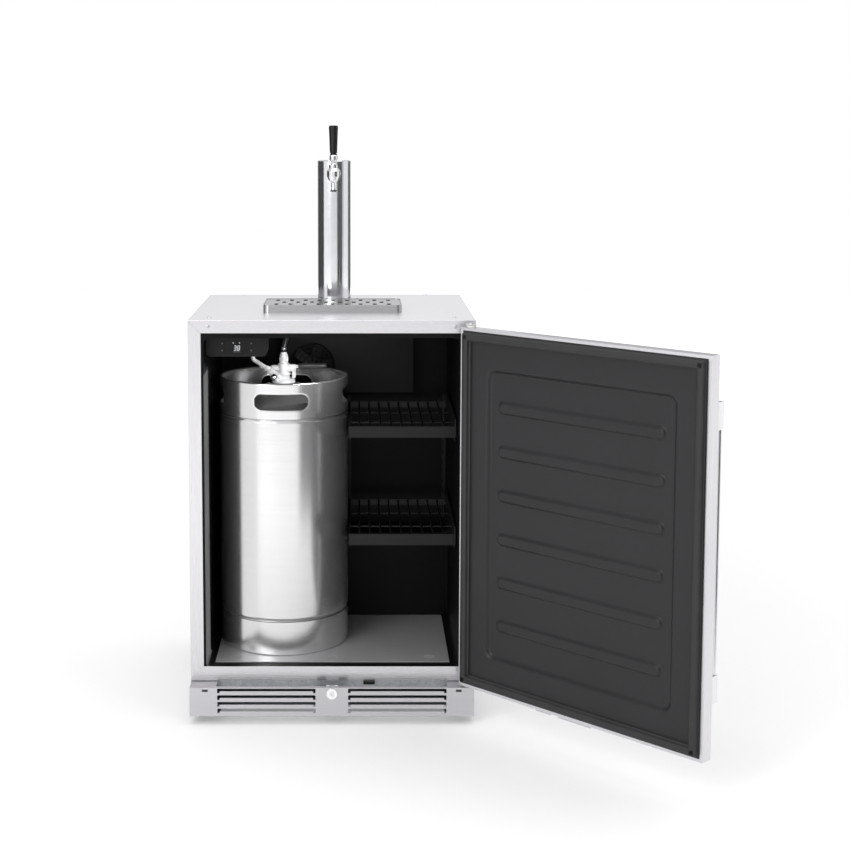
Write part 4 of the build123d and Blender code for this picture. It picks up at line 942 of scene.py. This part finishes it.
def hex_nut(radius, length):
    """A chamfered hexagon nut about +Z, from height 0."""
    points, faces = [], []
    sides = 48
    bevel = NUT_CHAMFER * 0.6
    for height, cut in ((0.0, NUT_CHAMFER), (bevel, 0.0), (length - bevel, 0.0),
                        (length, NUT_CHAMFER)):
        for k in range(sides):
            angle = 2 * pi * k / sides
            flat = radius * cos(pi / 6) / cos((angle + pi / 6) % (pi / 3) - pi / 6)
            out = min(flat, radius - cut)
            points.append((out * cos(angle), out * sin(angle), height))
    for j in range(3):
        for k in range(sides):
            n = (k + 1) % sides
            faces.append((j * sides + k, j * sides + n, (j + 1) * sides + n, (j + 1) * sides + k))
    faces.append(tuple(reversed(range(sides))))
    faces.append(tuple(3 * sides + k for k in range(sides)))
    return points, faces


# Places on the coupler are measured from the keg's axis.
GAS_ARM_LOW, GAS_ARM_BEND = Vector((-0.012, 0, 0.694)), Vector((-0.068, 0, 0.731))
LEVER_X, LEVER_Z = 0.020, 0.712


def coupler():
    """The chromed casting on the keg's valve."""
    barrel = rounded([(0.0, 0.6802), (0.0248, 0.6802), (0.0248, 0.6850), (0.0215, 0.6880),
                      (0.0150, 0.6885), (0.0130, 0.6905), (0.0130, 0.6960), (0.0150, 0.6970),
                      (0.0150, 0.7000), (0.0130, 0.7010), (0.0130, 0.7210), (0.0095, 0.7235),
                      (0.0088, 0.7280), (0.0088, 0.7420), (0.0066, 0.7430), (0.0066, 0.7470),
                      (0.0050, 0.7470)], 0.0008, 3)
    parts = [spun(barrel, segments=64)]
    parts.append(moved(hex_nut(0.0112, 0.009), Matrix.Translation((0, 0, 0.7275))))
    parts.append(soft_block(-0.028, 0.0165, -0.0078, 0.0078, 0.7062, 0.7178, 0.0030))
    parts.append(spun([(0.0, -0.0284), (0.0042, -0.0280), (0.0050, -0.0262), (0.0050, -0.0240)],
                      (0, 0, LEVER_Z), "X", 24))
    for y in (-0.0089, 0.0051):
        parts.append(soft_block(0.001, 0.0265, y, y + 0.0038, 0.7052, 0.7188, 0.0014))
        parts.append(soft_block(0.0185, 0.0262, y, y + 0.0038, 0.6900, 0.7100, 0.0014))
    for side in (-1, 1):
        pin = [(0.0, 0.0), (0.0036, 0.0002), (0.0040, 0.0009), (0.0040, 0.0016)]
        turn = (Matrix.Translation((LEVER_X, side * 0.0100, LEVER_Z))
                @ Matrix.Rotation(side * pi / 2, 4, "X"))
        parts.append(moved(spun(pin, segments=24), turn))
    for k in range(4):
        lug = soft_block(0.0200, 0.0246, -0.005, 0.005, 0.6840, 0.6890, 0.0012)
        parts.append(moved(lug, Matrix.Rotation(pi / 4 + k * pi / 2, 4, "Z")))
    along = (GAS_ARM_BEND - GAS_ARM_LOW).normalized()
    turn = along.to_track_quat("Z", "Y").to_matrix().to_4x4()
    arm_place = Matrix.Translation(GAS_ARM_LOW) @ turn
    reach = (GAS_ARM_BEND - GAS_ARM_LOW).length
    arm = rounded([(0.0, 0.0), (0.0070, 0.0), (0.0070, 0.008), (0.0052, 0.010), (0.0052, 0.026),
                   (0.0062, 0.027), (0.0062, 0.032), (0.0045, 0.034), (0.0045, reach - 0.007),
                   (0.0, reach - 0.007)], 0.0006, 2)
    parts.append(moved(spun(arm, segments=40), arm_place))
    parts.append(moved(hex_nut(0.0095, 0.011), arm_place @ Matrix.Translation((0, 0, 0.013))))
    bend = [GAS_ARM_BEND - along * 0.009, GAS_ARM_BEND - along * 0.004,
            GAS_ARM_BEND + Vector((0.0004, 0, 0.0008)), GAS_ARM_BEND + Vector((0, 0, 0.004)),
            GAS_ARM_BEND + Vector((0, 0, 0.0065))]
    parts.append(tube_along(bend, 0.0045, 24))
    boss = Matrix.Translation((0, 0, 0.694)) @ Matrix.Rotation(radians(225), 4, "Z")
    ring = [(0.0030, 0.0), (0.0055, 0.0), (0.0055, 0.0150), (0.0048, 0.0158), (0.0030, 0.0158)]
    boss = boss @ Matrix.Translation((0.005, 0, 0)) @ Matrix.Rotation(pi / 2, 4, "Y")
    parts.append(moved(spun(ring, segments=32), boss))
    shape = moved(joined(parts), Matrix.Translation(keg_centre))
    made = piece("coupler_casting", *shape, "coupler_chrome", "cabinet", "bright_chrome",
                 stands_for=["coupler_body"])
    made.data.set_sharp_from_angle(angle=radians(35))


GRIP_RIBS, GRIP_PITCH = 7, 0.004


def coupler_lever():
    """The lever: a chromed hub and rod with a ribbed black grip."""
    low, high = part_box("coupler_handle")
    pivot_at = Vector((keg_centre.x + LEVER_X, keg_centre.y, LEVER_Z))
    hub = [(0.0, -0.0045), (0.0052, -0.0045), (0.0059, -0.0038), (0.0059, 0.0038), (0.0052, 0.0045),
           (0.0, 0.0045)]
    rod = [(0.0034, 0.0), (0.0034, 0.020)]
    parts = [spun(hub, pivot_at, "Y", 40),
             spun(rod, (pivot_at.x + 0.003, pivot_at.y, pivot_at.z + 0.003), "X", 24)]
    piece("lever_hub", *joined(parts), "coupler_chrome", "coupler_lever", "bright_chrome")
    start, end = max(low.x + 0.018, pivot_at.x + 0.012), high.x
    grip = [(0.0, start), (0.0046, start), (0.0052, start + 0.0015), (0.0052, start + 0.006),
            (0.0060, start + 0.008)]
    for i in range(GRIP_RIBS):
        x = start + 0.014 + i * GRIP_PITCH
        grip += [(0.0060, x - 0.0010), (0.0055, x), (0.0060, x + 0.0010)]
    grip += [(0.0060, end - 0.004), (0.0056, end - 0.0015), (0.0042, end - 0.0002), (0.0, end)]
    shape = spun(grip, (0, pivot_at.y, pivot_at.z + 0.004), "X", 40)
    piece("lever_grip", *shape, "grip_black", "coupler_lever", "handle_black", ["coupler_handle"])


coupler()
coupler_lever()


# ---- Faucet: the dark tip of the spout ----
def spout_tip():
    """A short black sleeve on the end of the spout."""
    tip_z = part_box("faucet_body")[0].z
    handle_low, handle_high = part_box("tap_handle")
    x, y = (handle_low.x + handle_high.x) / 2, (handle_low.y + handle_high.y) / 2
    sleeve = rounded([(0.0052, 0.0002), (0.0070, 0.0002), (0.0068, 0.0038), (0.0052, 0.0040)],
                     0.0004, 3)
    shape = spun(sleeve, (x, y, tip_z), segments=48, closed=True)
    piece("spout_tip", *shape, "handle_black", "cabinet")


spout_tip()


# ---- Hose clamps: ear clamps where the hoses meet their fittings ----
def hose_clamps():
    """Stepless ear clamps on the beer line and the gas line."""
    parts = []
    gas_z, beer_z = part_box("gas_line")[0].z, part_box("beer_line")[0].z
    spots = (((keg_centre.x, keg_centre.y), beer_z + 0.005, 0.0058),
             ((keg_centre.x - 0.068, keg_centre.y), gas_z + 0.005, 0.0048))
    for (x, y), z, radius in spots:
        band = [(radius, 0.0), (radius + 0.0006, 0.0002), (radius + 0.0006, 0.0058),
                (radius, 0.006)]
        parts.append(spun(band, (x, y, z), segments=48, closed=True))
        parts.append(soft_block(x - 0.0018, x + 0.0018, y - radius - 0.0030, y - radius - 0.0002,
                                z + 0.0004, z + 0.0056, 0.0006))
    piece("hose_clamps", *joined(parts), "zinc", "cabinet")


hose_clamps()


# ---- Studio: pale floor, soft lights and a white room ----
FLOOR_REACH, FLOOR_DROP = 9.0, 0.0005


def stage_piece(name, points, faces, surface, reflections_only=True):
    """A mesh of the studio, seen by every ray or by reflections alone."""
    mesh = bpy.data.meshes.new(name)
    mesh.from_pydata(points, [], faces)
    mesh.materials.append(surface.material)
    made = bpy.data.objects.new(name, mesh)
    bpy.context.scene.collection.objects.link(made)
    if reflections_only:
        made.visible_camera = made.visible_diffuse = made.visible_shadow = False
        made.visible_transmission = made.visible_volume_scatter = False


def make_floor():
    """A pale floor that brightens into the white room with distance."""
    sides = 64
    points, faces = spun([(0.0, 0.0), (FLOOR_REACH, 0.0)], (0, 0, -FLOOR_DROP), segments=sides)
    paint = Surface("floor_paint", (0.90, 0.90, 0.90), 0.0, 0.75, Specular_IOR_Level=0.1,
                    Emission_Color=(1, 1, 1, 1))
    paint.paint(paint.noise(3.0, 2.0), (0.88, 0.88, 0.88))
    length = paint.node("ShaderNodeVectorMath", Vector=paint.place())
    length.operation = "LENGTH"
    fade = paint.spread(length.outputs["Value"], 0.12, 0.9, 0.9, FLOOR_REACH - 0.5)
    paint.feed(paint.shader.inputs["Emission Strength"], fade)
    stage_piece("floor", points, faces[:sides], paint, False)


def dark_flag(name, from_degrees, to_degrees, distance, high, shade):
    """An upright dark screen that only reflections see; angles run from the front to the right."""
    steps = 8
    points, faces = [], []
    for k in range(steps + 1):
        angle = radians(from_degrees + (to_degrees - from_degrees) * k / steps)
        x, y = distance * sin(angle), -distance * cos(angle)
        points += [(x, y, 0.0), (x, y, high)]
    for k in range(steps):
        faces.append((2 * k, 2 * k + 2, 2 * k + 3, 2 * k + 1))
    stage_piece(name, points, faces, Surface(name, (shade, shade, shade * 1.05), 0.0, 0.9))


def bright_card(name, corners, strength):
    """A white card that only reflections see, standing between the keg and the cabinet's wall."""
    card = Surface(name, (0, 0, 0), 0.0, 1.0, Emission_Color=(1, 1, 1, 1), Emission_Strength=strength)
    stage_piece(name, corners, [(0, 1, 2, 3)], card)


def area_light(name, at, aim, size, power):
    """A soft rectangular light."""
    data = bpy.data.lights.new(name, "AREA")
    data.shape, data.size, data.size_y = "RECTANGLE", size[0], size[1]
    data.energy = power
    made = bpy.data.objects.new(name, data)
    made.location = at
    made.rotation_euler = (Vector(aim) - Vector(at)).to_track_quat("-Z", "Y").to_euler()
    made.visible_camera = False
    bpy.context.scene.collection.objects.link(made)


# Brightness of the room's walls by the share of the turn round it, for reflections and light.
WALL_STOPS = ((0.00, 0.90), (0.20, 0.60), (0.29, 0.75), (0.31, 1.10), (0.43, 1.02), (0.45, 0.88),
              (0.54, 0.82), (0.58, 0.50), (0.68, 0.55), (0.71, 1.00), (0.82, 0.95), (0.86, 0.75),
              (1.00, 0.90))
ROOM_LIGHT = 0.95


def make_room():
    """White to the camera, and a room of bright and grey walls to reflections and light."""
    world = bpy.data.worlds.new("room")
    world.use_nodes = True
    bpy.context.scene.world = world
    world.node_tree.nodes.clear()
    room = Nodes(world.node_tree)
    way = room.node("ShaderNodeTexCoord")
    apart = room.node("ShaderNodeSeparateXYZ", Vector=way.outputs["Generated"])
    turn = room.maths("ARCTAN2", apart.outputs["X"], room.maths("MULTIPLY", apart.outputs["Y"], -1.0))
    share = room.node("ShaderNodeMapRange", Value=turn, From_Min=-pi, From_Max=pi)
    walls = room.node("ShaderNodeValToRGB", Fac=share.outputs["Result"])
    ramp = walls.color_ramp
    while len(ramp.elements) < len(WALL_STOPS):
        ramp.elements.new(0.5)
    for element, (place, value) in zip(ramp.elements, WALL_STOPS):
        element.position, element.color = place, (value, value, value * 1.01, 1.0)
    seen = room.node("ShaderNodeBackground", Color=(1, 1, 1, 1))
    lit = room.node("ShaderNodeBackground", Color=walls.outputs["Color"], Strength=ROOM_LIGHT)
    both = room.node("ShaderNodeMixShader")
    for socket, value in zip(both.inputs, (room.node("ShaderNodeLightPath").outputs["Is Camera Ray"],
                                           lit.outputs[0], seen.outputs[0])):
        room.feed(socket, value)
    room.node("ShaderNodeOutputWorld", Surface=both.outputs[0])


make_floor()
make_room()
CARD_BACK = keg_low.y + 0.022
CARD_X, CARD_LOW, CARD_HIGH = keg_low.x - 0.012, keg_low.z - 0.02, keg_high.z + 0.03
bright_card("keg_card", [(CARD_X, FRONT, CARD_LOW), (CARD_X, FRONT, CARD_HIGH),
                         (CARD_X, CARD_BACK, CARD_HIGH), (CARD_X, CARD_BACK, CARD_LOW)], 1.0)
dark_flag("left_flag", -80, -150, 1.7, 1.9, 0.05)
dark_flag("right_flag", 25, 62, 1.9, 1.9, 0.07)
dark_flag("rear_flag", 118, 160, 1.7, 1.3, 0.12)
# A small lamp under the roof, beside the control panel, aimed at the coupler.
area_light("cavity_light", (0.0, PANEL_FACE + 0.03, TOP - 0.055),
           (keg_mid.x, keg_mid.y, keg_high.z + 0.03), (0.10, 0.02), 0.30)
area_light("key", (-1.7, -2.7, 2.0), (0.0, 0.0, 0.5), (1.4, 1.8), 38.0)
area_light("fill", (2.4, -2.4, 1.5), (0.2, -0.2, 0.5), (1.2, 1.6), 14.0)
area_light("overhead", (0.2, -0.2, 3.2), (0.1, -0.1, 0.8), (2.2, 2.2), 22.0)
bpy.context.scene.view_settings.view_transform = "Standard"
